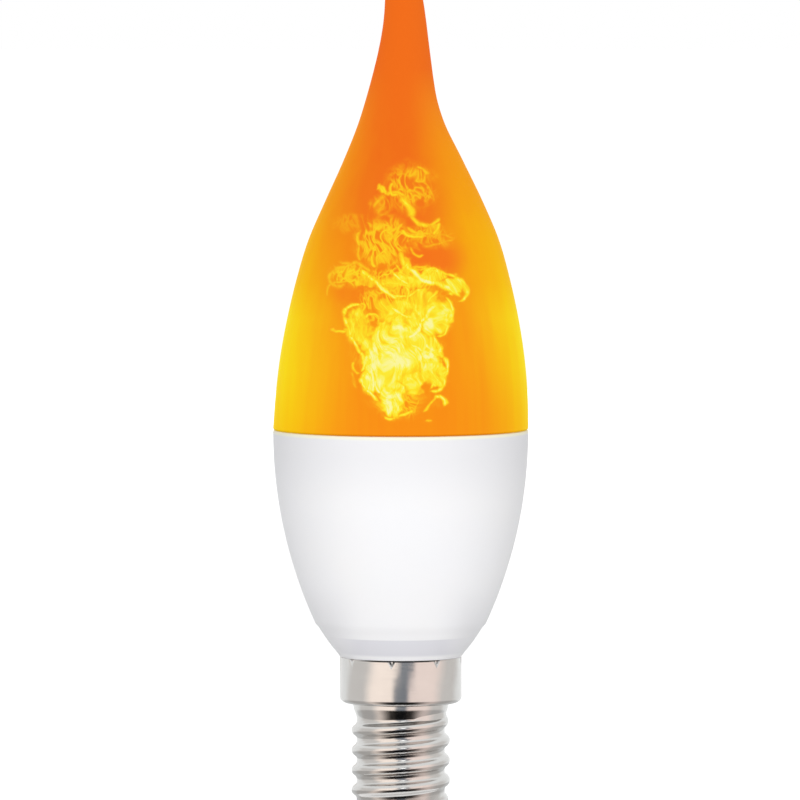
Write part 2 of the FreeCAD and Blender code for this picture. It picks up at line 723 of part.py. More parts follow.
# Diffuser: a lofted flame outline with a bent tail, on a skirt with a snap bead
def station(number, prefix, body, inset, low):
    """A round section of the diffuser, smaller than the outline by an inset."""
    if number == 0:
        height, radius, lean = low, "body_diameter / 2", "0"
    else:
        height = f"seam_height + station{number}_height * ({TAIL_END} - seam_height)"
        radius = f"station{number}_radius * body_diameter / 2"
        lean = f"station{number}_lean"
    sketch = new_sketch(body, f"{prefix}{number}", "XY_Plane", offset=height)
    return circle(sketch, f"{radius} - {inset}", lean)


def make_diffuser():
    body = new_body("diffuser_body")
    bead = "(seam_height - snap_drop)"
    revolve(
        body,
        "skirt",
        [
            (SKIRT_BORE, SKIRT_END),
            (SKIRT, SKIRT_END),
            (SKIRT, f"{bead} - snap_half", "snap_radius", 1),
            (SKIRT, f"{bead} + snap_half"),
            (SKIRT, "seam_height + diffuser_wall"),
            (SKIRT_BORE, "seam_height + diffuser_wall"),
        ],
    )
    count = len(DIFFUSER_OUTLINE)
    outside = [station(n, "outer", body, "0", "seam_height") for n in range(count)]
    loft(body, "flame_outline", outside)
    full_bore = "seam_height + diffuser_rim"
    reach = min(int(value("cavity_stations")), count - 1)
    inside = [station(n, "bore", body, "diffuser_wall", full_bore) for n in range(reach)]
    loft(body, "flame_bore", inside, cut=True)
    revolve(
        body,
        "skirt_bore",
        [
            ("0", f"{SKIRT_END} - diffuser_wall"),
            (SKIRT_BORE, f"{SKIRT_END} - diffuser_wall"),
            (SKIRT_BORE, "seam_height"),
            ("body_diameter / 2 - diffuser_wall", full_bore),
            ("0", full_bore),
        ],
        cut=True,
    )
    end = count - 1
    lean = f"station{end}_lean"
    radius = f"(station{end}_radius * body_diameter / 2)"
    section = new_sketch(body, "tip_section")
    outline(
        section,
        [
            (lean, TAIL_END),
            (f"{lean} + {radius}", TAIL_END, "tip_round", 1),
            (f"{lean} + {radius} - tip_round", f"{TAIL_END} + tip_round"),
            (lean, f"{TAIL_END} + tip_round"),
        ],
    )
    middle = section.addGeometry(
        Part.LineSegment(
            Vector(value(lean), value(TAIL_END), 0),
            Vector(value(lean), value(f"{TAIL_END} + tip_round"), 0),
        ),
        True,
    )
    pin_point(section, middle, 1, lean, TAIL_END)
    pin_point(section, middle, 2, lean, f"{TAIL_END} + tip_round")
    rounding = body.newObject("PartDesign::Revolution", "tip_rounding")
    rounding.Profile = section
    rounding.ReferenceAxis = (section, ["Axis0"])
    rounding.Angle = 360
    changed(body, rounding, True)
    return subpart("diffuser", body)


# Light core: disc and upright tube, wrapped in a flexible board with rows of lamps
def make_core():
    body = new_body("flame_core_body")
    disc = new_sketch(body, "disc_outline", "XY_Plane", offset=LEDGE_TOP)
    circle(disc, f"{SKIRT} + fit_gap - disc_gap")
    extrude(body, "disc", disc, "disc_thickness")
    tube = new_sketch(body, "core_outline", "XY_Plane", offset=DISC_TOP)
    polygon(tube, "core_flats", "core_sides")
    extrude(body, "core", tube, "core_height")
    hole = new_sketch(body, "core_hole_outline", "XY_Plane", offset=CORE_TOP)
    polygon(hole, "core_flats - 2 * core_wall", "core_sides")
    length = "core_height + disc_thickness + core_wall"
    extrude(body, "core_hole", hole, length, cut=True)
    subpart("flame_core", body)

    body = new_body("flex_board_body")
    start = f"{DISC_TOP} + flex_margin"
    sleeve = new_sketch(body, "sleeve_outline", "XY_Plane", offset=start)
    polygon(sleeve, "core_flats + 2 * flex_thickness", "core_sides")
    polygon(sleeve, "core_flats", "core_sides")
    extrude(body, "sleeve", sleeve, "core_height - 2 * flex_margin")
    slit = new_sketch(body, "slit_outline", "XY_Plane", offset=CORE_TOP)
    corner = "core_flats / 2 / cos(180 / core_sides)"
    circle(
        slit,
        "flex_slit / 2 + flex_thickness",
        f"{corner} * cos(180 / core_sides)",
        f"{corner} * sin(180 / core_sides)",
    )
    extrude(body, "slit", slit, "core_height", cut=True)
    subpart("flex_board", body)


def make_lamps():
    rows = int(value("led_rows"))
    step = f"(core_height - 2 * led_margin - led_height) / {rows - 1}"
    for row in range(rows):
        label = f"led_row_{row + 1}"
        body = new_body(label + "_body", many=True)
        middle = f"({DISC_TOP} + led_margin + led_height / 2 + {row} * {step})"
        lamp = extrude(
            body,
            label + "_package",
            box_outline(
                new_sketch(body, label + "_outline", "YZ_Plane", offset=LAMP_SEAT),
                "-led_width / 2",
                "led_width / 2",
                f"{middle} - led_height / 2",
                f"{middle} + led_height / 2",
            ),
            "led_thickness",
        )
        face = f"{LAMP_SEAT} + led_thickness"
        window = extrude(
            body,
            label + "_window",
            box_outline(
                new_sketch(body, label + "_window_outline", "YZ_Plane", offset=face),
                "-(led_width / 2 - window_margin)",
                "led_width / 2 - window_margin",
                f"{middle} - led_height / 2 + window_margin",
                f"{middle} + led_height / 2 - window_margin",
            ),
            "window_depth",
            cut=True,
        )
        around(body, label + "_ring", [lamp, window], "core_sides")
        subpart(label, body)

    body = new_body("top_board_body")
    board = new_sketch(body, "top_board_outline", "XY_Plane", offset=CORE_TOP)
    circle(board, "core_flats / 2 + top_board_overhang")
    extrude(body, "top_board_disc", board, "top_board_thickness")
    subpart("top_board", body)

    body = new_body("top_leds_body", many=True)
    left = "top_led_circle - led_width / 2"
    right = "top_led_circle + led_width / 2"
    lamp = extrude(
        body,
        "top_led_package",
        box_outline(
            new_sketch(body, "top_led_outline", "XY_Plane", offset=TOP_BOARD_TOP),
            left,
            right,
            "-led_height / 2",
            "led_height / 2",
        ),
        "led_thickness",
    )
    face = f"{TOP_BOARD_TOP} + led_thickness"
    window = extrude(
        body,
        "top_led_window",
        box_outline(
            new_sketch(body, "top_led_window_outline", "XY_Plane", offset=face),
            f"{left} + window_margin",
            f"{right} - window_margin",
            "-(led_height / 2 - window_margin)",
            "led_height / 2 - window_margin",
        ),
        "window_depth",
        cut=True,
    )
    around(body, "top_led_ring", [lamp, window], "top_led_count")
    subpart("top_leds", body)


# Driver board: wide part in the rails, tongue down into the cap
def make_board():
    body = new_body("driver_board_body")
    tongue = f"sqrt(({SPIGOT_BORE} - tongue_gap) ^ 2 - {BOARD_FACE} ^ 2)"
    side = "(rail_reach - board_side_gap)"
    ear = "(rail_reach + rail_groove - fit_gap)"
    seat = f"({SEAT} + fit_gap)"
    wide = f"((tongue_top + {seat}) / 2)"
    half = [
        (tongue, "tongue_bottom"),
        (tongue, "tongue_top"),
        (side, wide),
        (side, seat),
        (ear, seat),
        (ear, BOARD_TOP),
    ]
    other = [(f"-{x}", z) for x, z in reversed(half)]
    board = outline(new_sketch(body, "board_outline"), half + other)
    extrude(body, "board", board, "board_thickness", middle=True)
    subpart("driver_board", body)


def make_chip(label, length, width, thickness, pitch, legs, back, height):
    """A chip with rows of stepped legs on both sides, on the board's back or front."""
    body = new_body(label + "_body")
    block = box_outline(
        new_sketch(body, label + "_block_outline", offset="-chip_standoff"),
        f"-{length} / 2",
        f"{length} / 2",
        f"-{width} / 2",
        f"{width} / 2",
    )
    extrude(body, label + "_block", block, thickness, reverse=True)
    first = f"-({legs} - 1) / 2 * {pitch} - leg_width / 2"
    side = new_sketch(body, label + "_leg_outline", "YZ_Plane", offset=first)
    knee = f"{width} / 2 + leg_knee"
    mid = f"(chip_standoff + {thickness} / 2)"
    leg = [
        (mid, f"{width} / 2 - leg_thickness"),
        (mid, knee),
        ("0", knee),
        ("0", f"{width} / 2 + leg_reach"),
        ("leg_thickness", f"{width} / 2 + leg_reach"),
        ("leg_thickness", f"{knee} + leg_thickness"),
        (f"{mid} + leg_thickness", f"{knee} + leg_thickness"),
        (f"{mid} + leg_thickness", f"{width} / 2 - leg_thickness"),
    ]
    outline(side, leg)
    outline(side, [(y, f"-({z})") for y, z in reversed(leg)])
    pair = extrude(body, label + "_legs", side, "leg_width")
    row = body.newObject("PartDesign::LinearPattern", label + "_leg_row")
    row.Originals = [pair]
    row.Direction = (origin_part(body, "X_Axis"), [""])
    row.Mode = "Spacing"
    row.Offset = value(pitch)
    row.setExpression("Offset", bind(pitch))
    row.Occurrences = int(value(legs))
    row.setExpression("Occurrences", bind(legs))
    changed(body, row, True)
    rotation = Rotation() if back else Rotation(Vector(0, 0, 1), 180)
    place(body, y=BOARD_FACE if back else f"-{BOARD_FACE}", z=height, rotation=rotation)
    return subpart(label, body)


def make_components():
    # Smoothing capacitor, standing against the board's front, with its rolled groove
    body = new_body("capacitor_body")
    can = "capacitor_diameter / 2"
    revolve(
        body,
        "capacitor_can",
        [
            ("0", "0"),
            (can, "0"),
            (can, "3 * capacitor_groove"),
            (f"{can} - capacitor_groove", "4 * capacitor_groove"),
            (can, "5 * capacitor_groove"),
            (can, "capacitor_length - capacitor_groove"),
            (f"{can} - capacitor_groove", "capacitor_length"),
            ("0", "capacitor_length"),
        ],
    )
    place(
        body,
        y=f"-({BOARD_FACE} + capacitor_diameter / 2 + fit_gap)",
        z=f"{BOARD_TOP} - capacitor_drop - capacitor_length",
    )
    subpart("capacitor", body)

    # Choke on the board's back: a drum of ferrite and its winding
    outward = Rotation(Vector(1, 0, 0), -90)
    body = new_body("choke_core_body")
    revolve(
        body,
        "drum",
        [
            ("0", "0"),
            ("choke_diameter / 2", "0"),
            ("choke_diameter / 2", "choke_flange"),
            ("choke_post / 2", "choke_flange"),
            ("choke_post / 2", "choke_length - choke_flange"),
            ("choke_diameter / 2", "choke_length - choke_flange"),
            ("choke_diameter / 2", "choke_length"),
            ("0", "choke_length"),
        ],
    )
    seat = {"x": "-choke_side", "y": BOARD_FACE, "z": f"{BOARD_TOP} - choke_drop"}
    place(body, **seat, rotation=outward)
    subpart("choke_core", body)
    body = new_body("choke_winding_body")
    revolve(
        body,
        "winding",
        [
            ("choke_post / 2 + fit_gap", "choke_flange + fit_gap"),
            ("choke_winding / 2", "choke_flange + fit_gap"),
            ("choke_winding / 2", "choke_length - choke_flange - fit_gap"),
            ("choke_post / 2 + fit_gap", "choke_length - choke_flange - fit_gap"),
        ],
    )
    place(body, **seat, rotation=outward)
    subpart("choke_winding", body)

    # Fusible resistor beside the capacitor, with a stub of wire at each end
    body = new_body("fusible_resistor_body")
    revolve(
        body,
        "resistor",
        [
            ("0", "-2 * resistor_wire"),
            ("resistor_wire / 2", "-2 * resistor_wire"),
            ("resistor_wire / 2", "0"),
            ("resistor_diameter / 2", "0"),
            ("resistor_diameter / 2", "resistor_length"),
            ("resistor_wire / 2", "resistor_length"),
            ("resistor_wire / 2", "resistor_length + 2 * resistor_wire"),
            ("0", "resistor_length + 2 * resistor_wire"),
        ],
    )
    place(
        body,
        x="resistor_side",
        y=f"-({BOARD_FACE} + resistor_diameter / 2 + fit_gap)",
        z=f"{BOARD_TOP} - resistor_drop",
    )
    subpart("fusible_resistor", body)

    make_chip(
        "bridge_rectifier",
        "bridge_length",
        "bridge_width",
        "bridge_thickness",
        "bridge_leg_pitch",
        "bridge_legs",
        False,
        f"{BOARD_TOP} - bridge_drop",
    )
    for label in ("driver_chip", "flame_chip"):
        make_chip(
            label,
            "chip_length",
            "chip_width",
            "chip_thickness",
            "chip_leg_pitch",
            "chip_legs",
            True,
            f"{BOARD_TOP} - {label}_drop",
        )


def make_lead(label, role, offset, route, at):
    """An insulated lead: a round section swept along a flat route of lines and tangent arcs."""
    body = new_body(label + "_body")
    path = outline(new_sketch(body, label + "_route", role, offset), route, closed=False)
    start = new_sketch(body, label + "_section", "XY_Plane", offset=route[0][1])
    circle(start, "wire_diameter / 2", *at)
    doc.recompute()
    pipe = body.newObject("PartDesign::AdditivePipe", label + "_tube")
    pipe.Profile = start
    pipe.Spine = (path, [f"Edge{n + 1}" for n in range(len(route) - 1)])
    changed(body, pipe, True)
    return subpart(label, body)


def sideways(shift):
    """The height that an S-bend of two arcs takes for a shift to the side."""
    return f"(2 * sqrt(wire_bend * {shift} - ({shift}) ^ 2 / 4))"


def make_leads():
    # From the tongue's front to the nail
    bend = f"(tongue_bottom - wire_straight - {sideways(WIRE_Y)})"
    mid = f"(tongue_bottom - wire_straight - {sideways(WIRE_Y)} / 2)"
    make_lead(
        "live_lead",
        "YZ_Plane",
        "0",
        [
            (f"-{WIRE_Y}", PAD_TOP),
            (f"-{WIRE_Y}", "tongue_bottom - wire_straight", "wire_bend", 1),
            (f"-{WIRE_Y} / 2", mid, "wire_bend", -1),
            ("0", bend),
            ("0", f"{NAIL_TOP} + fit_gap"),
        ],
        ("0", f"-{WIRE_Y}"),
    )
    # From the tongue's back through the slot to the shell
    low = "(spigot_end + return_exit)"
    make_lead(
        "return_lead",
        "YZ_Plane",
        "0",
        [
            (WIRE_Y, PAD_TOP),
            (WIRE_Y, f"{low} + wire_bend", "wire_bend", 1),
            (f"{WIRE_Y} + wire_bend", low),
            (f"{SHELL_BORE} - return_reach", low),
        ],
        ("0", WIRE_Y),
    )
    # From the board's front up into the core, to the round board's underside
    shift = "(supply_side - supply_core_side)"
    top = f"(({CORE_TOP}) - fit_gap)"
    pads = f"({BOARD_TOP} - supply_pad)"
    for label, sign, turn in (
        ("supply_lead_positive", "", 1),
        ("supply_lead_negative", "-", -1),
    ):
        make_lead(
            label,
            "XZ_Plane",
            WIRE_Y,
            [
                (f"{sign}supply_side", pads),
                (f"{sign}supply_side", BOARD_TOP, "wire_bend", turn),
                (
                    f"{sign}(supply_side + supply_core_side) / 2",
                    f"{BOARD_TOP} + {sideways(shift)} / 2",
                    "wire_bend",
                    -turn,
                ),
                (f"{sign}supply_core_side", f"{BOARD_TOP} + {sideways(shift)}"),
                (f"{sign}supply_core_side", top),
            ],
            (f"{sign}supply_side", f"-{WIRE_Y}"),
        )


def export():
    """Checks every object and piece, then writes one STEP file for each node."""
    failed = [o.Name for o in doc.Objects if set(o.State) & {"Invalid", "Error"}]
    if failed:
        raise RuntimeError(f"failed objects: {failed}")
    for label, thing in subparts.items():
        if thing.Shape.isNull() or not thing.Shape.isValid():
            raise RuntimeError(f"{label} has no valid shape")
    os.makedirs("parts", exist_ok=True)
    for label, thing in subparts.items():
        shape = thing.Shape
        shape.exportStep(f"parts/{label}.step")
        box = shape.optimalBoundingBox(False, False)
        print(
            f"{label}: {len(shape.Solids)} solids, {shape.Volume:.2f} mm3, "
            f"x {box.XMin:.2f} to {box.XMax:.2f}, y {box.YMin:.2f} to {box.YMax:.2f}, "
            f"z {box.ZMin:.2f} to {box.ZMax:.2f}"
        )


make_screw_shell()
make_insulator()
make_contacts()
make_housing()
make_diffuser()
make_core()
make_lamps()
make_board()
make_components()
make_leads()
doc.recompute()
export()
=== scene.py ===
import math

import bpy
import numpy as np
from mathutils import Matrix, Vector


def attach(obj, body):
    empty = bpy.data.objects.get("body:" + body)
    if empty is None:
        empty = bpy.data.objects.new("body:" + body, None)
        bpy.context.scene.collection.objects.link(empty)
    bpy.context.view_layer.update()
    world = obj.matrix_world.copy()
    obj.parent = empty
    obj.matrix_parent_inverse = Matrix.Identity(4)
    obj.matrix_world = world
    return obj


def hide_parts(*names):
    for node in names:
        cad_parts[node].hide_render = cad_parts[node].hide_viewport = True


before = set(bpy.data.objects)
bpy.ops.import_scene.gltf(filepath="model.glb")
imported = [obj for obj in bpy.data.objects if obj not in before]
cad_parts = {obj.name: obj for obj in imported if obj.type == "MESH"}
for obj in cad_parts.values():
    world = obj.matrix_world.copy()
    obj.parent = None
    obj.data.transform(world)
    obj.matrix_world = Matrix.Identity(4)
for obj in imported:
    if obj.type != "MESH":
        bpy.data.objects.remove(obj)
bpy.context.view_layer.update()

# Lengths are in millimetres and angles in degrees, except where a comment says otherwise.
MM = 0.001


def tone(red, green, blue):
    """A colour as it looks on screen, from 0 to 255, as linear values."""
    values = []
    for channel in (red, green, blue):
        share = channel / 255
        low = share / 12.92
        high = ((share + 0.055) / 1.055) ** 2.4
        values.append(low if share <= 0.04045 else high)
    return (*values, 1.0)


# Meshes


def ring_at(angles, radius, height):
    """One row of a turned skin, at these angles."""
    points = [radius * np.cos(angles), radius * np.sin(angles)]
    return np.stack([*points, np.full(len(angles), height)], 1)


def ring(radius, height, count, lean=0.0):
    """A whole circle round (lean, 0), or one point where the radius is nothing."""
    if radius < 1e-6:
        return np.array([[lean, 0.0, height]])
    row = ring_at(np.linspace(0, 2 * np.pi, count, endpoint=False), radius, height)
    row[:, 0] += lean
    return row


def skin(name, rows, closed=False):
    """A mesh piece through rows of points. A row of one point is a pole."""
    starts = np.cumsum([0] + [len(row) for row in rows])
    faces = []
    pairs = list(range(len(rows) - 1))
    if closed:
        pairs.append(len(rows) - 1)
    for index in pairs:
        after = (index + 1) % len(rows)
        low, high = starts[index], starts[after]
        few, many = len(rows[index]), len(rows[after])
        count = max(few, many)
        for j in range(count):
            k = (j + 1) % count
            if few == 1:
                faces.append((low, high + k, high + j))
            elif many == 1:
                faces.append((low + j, low + k, high))
            else:
                faces.append((low + j, low + k, high + k, high + j))
    mesh = bpy.data.meshes.new(name)
    mesh.from_pydata((np.concatenate(rows) * MM).tolist(), [], faces)
    mesh.polygons.foreach_set("use_smooth", [True] * len(mesh.polygons))
    mesh.update()
    obj = bpy.data.objects.new(name, mesh)
    bpy.context.scene.collection.objects.link(obj)
    return obj


def rounded(points, steps=5):
    """A profile of (radius, height) points. A third number rounds that corner."""
    path = []
    for index, point in enumerate(points):
        here = np.array(point[:2], float)
        if len(point) < 3:
            path.append(tuple(here))
            continue
        before = np.array(points[index - 1][:2], float) - here
        after = np.array(points[(index + 1) % len(points)][:2], float) - here
        before /= np.linalg.norm(before)
        after /= np.linalg.norm(after)
        half = math.acos(max(-1.0, min(1.0, float(before @ after)))) / 2
        reach = point[2] / math.tan(half)
        middle = before + after
        middle /= np.linalg.norm(middle)
        centre = here + middle * point[2] / math.sin(half)
        first = here + before * reach - centre
        last = here + after * reach - centre
        sweep = math.atan2(
            first[0] * last[1] - first[1] * last[0], float(first @ last)
        )
        for step in range(steps + 1):
            angle = sweep * step / steps
            c, s = math.cos(angle), math.sin(angle)
            path.append(
                (
                    float(centre[0] + first[0] * c - first[1] * s),
                    float(centre[1] + first[0] * s + first[1] * c),
                )
            )
    return path


def smooth_line(knots, values, places):
    """A smooth curve through the knots, read at the places."""
    knots = np.array(knots, float)
    values = np.array(values, float)
    slopes = np.gradient(values, knots)
    index = np.clip(np.searchsorted(knots, places) - 1, 0, len(knots) - 2)
    step = knots[index + 1] - knots[index]
    t = (places - knots[index]) / step
    return (
        values[index] * (2 * t**3 - 3 * t**2 + 1)
        + slopes[index] * step * (t**3 - 2 * t**2 + t)
        + values[index + 1] * (3 * t**2 - 2 * t**3)
        + slopes[index + 1] * step * (t**3 - t**2)
    )


def arc_between(start, end, radius, count):
    """Points of an arc from start to end that bulges outwards, away from the axis."""
    start, end = np.array(start, float), np.array(end, float)
    chord = end - start
    length = float(np.linalg.norm(chord))
    rise = math.sqrt(radius**2 - length**2 / 4)
    normal = np.array([-chord[1], chord[0]]) / length
    centre = (start + end) / 2 + normal * rise
    first, last = start - centre, end - centre
    low = math.atan2(first[1], first[0])
    high = math.atan2(last[1], last[0])
    angles = np.linspace(low, high, count)
    return [
        (
            float(centre[0] + radius * math.cos(a)),
            float(centre[1] + radius * math.sin(a)),
        )
        for a in angles
    ]


def ease(value, low, high):
    """0 below low, 1 above high, and smooth between them."""
    t = np.clip((value - low) / (high - low), 0, 1)
    return t * t * (3 - 2 * t)


# Sizes of the three shown pieces. The neck and the crimps differ a little from the solids'.
SEAM = 57.1
TIP = 125.0
TIP_ROUND = 1.2
BORE_TOP = 112.0
DIFFUSER_WALL = 1.2
SKIRT_LENGTH = 3.0
BODY_RADIUS = 18.0
RIM_WALL = 1.55
HOUSING_WALL = 1.5
HOUSING_CURVE = 64.8
BAND_LENGTH = 3.4
BAND_RADIUS = 11.45
SPIGOT_END = 9.5
SPIGOT_RADIUS = 5.885
SPIGOT_BORE = 4.9
PLUG_RADIUS = 7.82
GAP = 0.05
CAP_TOP = 25.0
COLLAR_RADIUS = 8.6
COLLAR_BOTTOM = 18.5
COLLAR_CORNER = 0.8
SHELL_WALL = 0.25
NECK_RADIUS = 6.7
NECK_BOTTOM = 18.0
NECK_TAPER = 1.9
THREAD_CREST = 6.945
THREAD_ROOT = 6.145
PITCH = 2.822
THREAD_START = -40.0
THREAD_LOW = 4.311
THREAD_TURNS = 4.227
THREAD_ROUND = 0.822
ROOT_FLAT = 0.04
SHELL_BOTTOM = 2.9
LIP_RADIUS = 0.9
CRIMPS = 8
CRIMP_ANGLE = -98.5
CRIMP_WIDTH = 1.3
CRIMP_HEIGHT = 1.15
CRIMP_DEPTH = 0.45
COLUMNS = 144

# The diffuser's outline: height, radius, and how far the section stands towards +X
OUTLINE = [
    (57.1, 18.0, 0.0),
    (61.2, 17.82, 0.12),
    (66.9, 17.28, 0.22),
    (72.5, 16.35, 0.3),
    (78.2, 15.06, 0.36),
    (83.8, 13.42, 0.42),
    (89.4, 11.02, 0.45),
    (95.1, 8.35, 0.35),
    (100.7, 5.9, 0.1),
    (103.5, 5.04, 0.1),
    (106.4, 4.38, 0.25),
    (109.2, 3.84, 0.42),
    (112.0, 3.36, 0.54),
    (114.8, 2.98, 0.58),
    (117.6, 2.68, 0.46),
    (121.0, 2.3, 0.02),
    (123.8, 1.9, -0.6),
]


def make_diffuser():
    """The hollow shell: down the bore to the skirt, and up outside to the tip."""
    heights, radii, leans = (list(column) for column in zip(*OUTLINE))
    places = np.linspace(57.4, heights[-1], 90)
    outer_radius = smooth_line(heights, radii, places)
    outer_lean = smooth_line(heights, leans, places)
    inner = np.linspace(BORE_TOP, 58.6, 30)
    inner_radius = smooth_line(heights, radii, inner) - DIFFUSER_WALL
    inner_lean = smooth_line(heights, leans, inner)
    rows = [
        ring(0, BORE_TOP + 1.2, COLUMNS, float(inner_lean[0])),
        ring(inner_radius[0] * 0.75, BORE_TOP + 0.7, COLUMNS, float(inner_lean[0])),
    ]
    for height, radius, lean in zip(inner, inner_radius, inner_lean):
        rows.append(ring(radius, height, COLUMNS, float(lean)))
    skirt = BODY_RADIUS - RIM_WALL - GAP
    foot = rounded(
        [
            (skirt - DIFFUSER_WALL, 57.9),
            (skirt - DIFFUSER_WALL, SEAM - SKIRT_LENGTH, 0.25),
            (skirt, SEAM - SKIRT_LENGTH, 0.25),
            (skirt, SEAM, 0.1),
            (BODY_RADIUS, SEAM, 0.22),
            (BODY_RADIUS - 0.01, 57.8),
        ]
    )
    for radius, height in foot[:-1]:
        rows.append(ring(radius, height, COLUMNS))
    for height, radius, lean in zip(places, outer_radius, outer_lean):
        rows.append(ring(radius, height, COLUMNS, float(lean)))
    last_radius, last_lean = float(outer_radius[-1]), float(outer_lean[-1])
    tip_lean = 0.06
    for angle in (20, 40, 58, 74):
        a = math.radians(angle)
        radius, height = last_radius * math.cos(a), heights[-1] + TIP_ROUND * math.sin(a)
        rows.append(ring(radius, height, COLUMNS, last_lean - tip_lean * angle / 90))
    rows.append(ring(0, TIP, COLUMNS, last_lean - tip_lean))
    return skin("diffuser_shell", rows)


def make_housing():
    """The white body, turned from one closed profile that starts at the spigot."""
    rim = CAP_TOP + 0.01
    shoulder = COLLAR_BOTTOM + 0.3
    band_top = CAP_TOP + BAND_LENGTH
    top = SEAM - GAP
    bore = BODY_RADIUS - RIM_WALL
    side = arc_between((BAND_RADIUS, band_top), (BODY_RADIUS, top), HOUSING_CURVE, 44)
    profile = rounded(
        [
            (SPIGOT_BORE, SPIGOT_END, 0.2),
            (SPIGOT_RADIUS, SPIGOT_END, 0.4),
            (SPIGOT_RADIUS, shoulder, 0.3),
            (PLUG_RADIUS, shoulder, 0.8),
            (PLUG_RADIUS, rim, 0.12),
            (COLLAR_RADIUS, rim, 0.05),
            (9.08, 25.66),
            (9.58, 26.25),
            (10.02, 26.82),
            (10.44, 27.4),
            (10.84, 27.98),
            (11.22, 28.56),
            (11.57, 29.12),
        ]
    )
    profile += [point for point in side[:-1] if point[1] > 29.5]
    ledge = [(15.2, 52.45), (15.2, 51.2), (16.1, 50.0)]
    profile += rounded(
        [
            (BODY_RADIUS - 0.02, top - 0.6),
            (BODY_RADIUS, top, 0.22),
            (bore, top, 0.15),
            (bore, 52.45),
            *ledge,
        ]
    )[1:]
    low = (BAND_RADIUS - HOUSING_WALL, band_top + 0.4)
    inside = arc_between(low, (16.2, 49.6), HOUSING_CURVE - HOUSING_WALL, 14)
    profile += inside[::-1]
    throat = 6.8
    profile += [(throat, 26.4), (throat, 20.9), (SPIGOT_BORE, 19.6)]
    rows = [ring(radius, height, COLUMNS) for radius, height in profile]
    return skin("housing_shell", rows, closed=True)


def thread_lift(angles, heights):
    """How far the thread stands above its root at each angle and height."""
    start = math.radians(THREAD_START)
    along = (angles - start) / (2 * np.pi)
    turns = np.round((heights - THREAD_LOW) / PITCH - along)
    place = along + turns
    offset = (heights - THREAD_LOW) / PITCH - place
    off = np.abs(offset) * PITCH
    tall = THREAD_CREST - THREAD_ROOT
    over = np.minimum(off, PITCH / 4)
    under = np.minimum(PITCH / 2 - off, PITCH / 4)
    crest = tall - THREAD_ROUND + np.sqrt(THREAD_ROUND**2 - over**2)
    root = THREAD_ROUND - np.sqrt(THREAD_ROUND**2 - under**2)
    bump = np.where(off < PITCH / 4, crest, root)
    begin = ease(place, -0.02, 0.2)
    end = 1 - ease(place, THREAD_TURNS - 0.2, THREAD_TURNS + 0.02)
    return bump * begin * end


def shell_radius(profile_radius, angles, height):
    """The thread on a turned profile. The plain neck hides what lies under its surface."""
    if height > NECK_BOTTOM + 0.9:
        return np.full(len(angles), profile_radius)
    lifted = THREAD_ROOT + thread_lift(angles, np.full(len(angles), height))
    soft = 0.06
    gain = lifted - max(profile_radius, THREAD_ROOT)
    radius = profile_radius + soft * np.logaddexp(0, gain / soft)
    # Below the root, in the lip, the soft step is taken back where there is no thread
    if profile_radius <= THREAD_ROOT + 1e-6:
        radius -= soft * math.log(2)
    return radius


def crimp_dent(angles, height, radius):
    """How deep the punched marks go at each angle."""
    below = CAP_TOP - height
    if below > CRIMP_HEIGHT + 0.1:
        return np.zeros(len(angles))
    first = math.radians(CRIMP_ANGLE)
    step = 2 * np.pi / CRIMPS
    away = np.abs((angles - first + step / 2) % step - step / 2) * radius
    half = CRIMP_WIDTH / 2 * (1 - max(below, 0) / CRIMP_HEIGHT)
    edge = half - away
    return CRIMP_DEPTH * ease(edge, -0.04, 0.42)


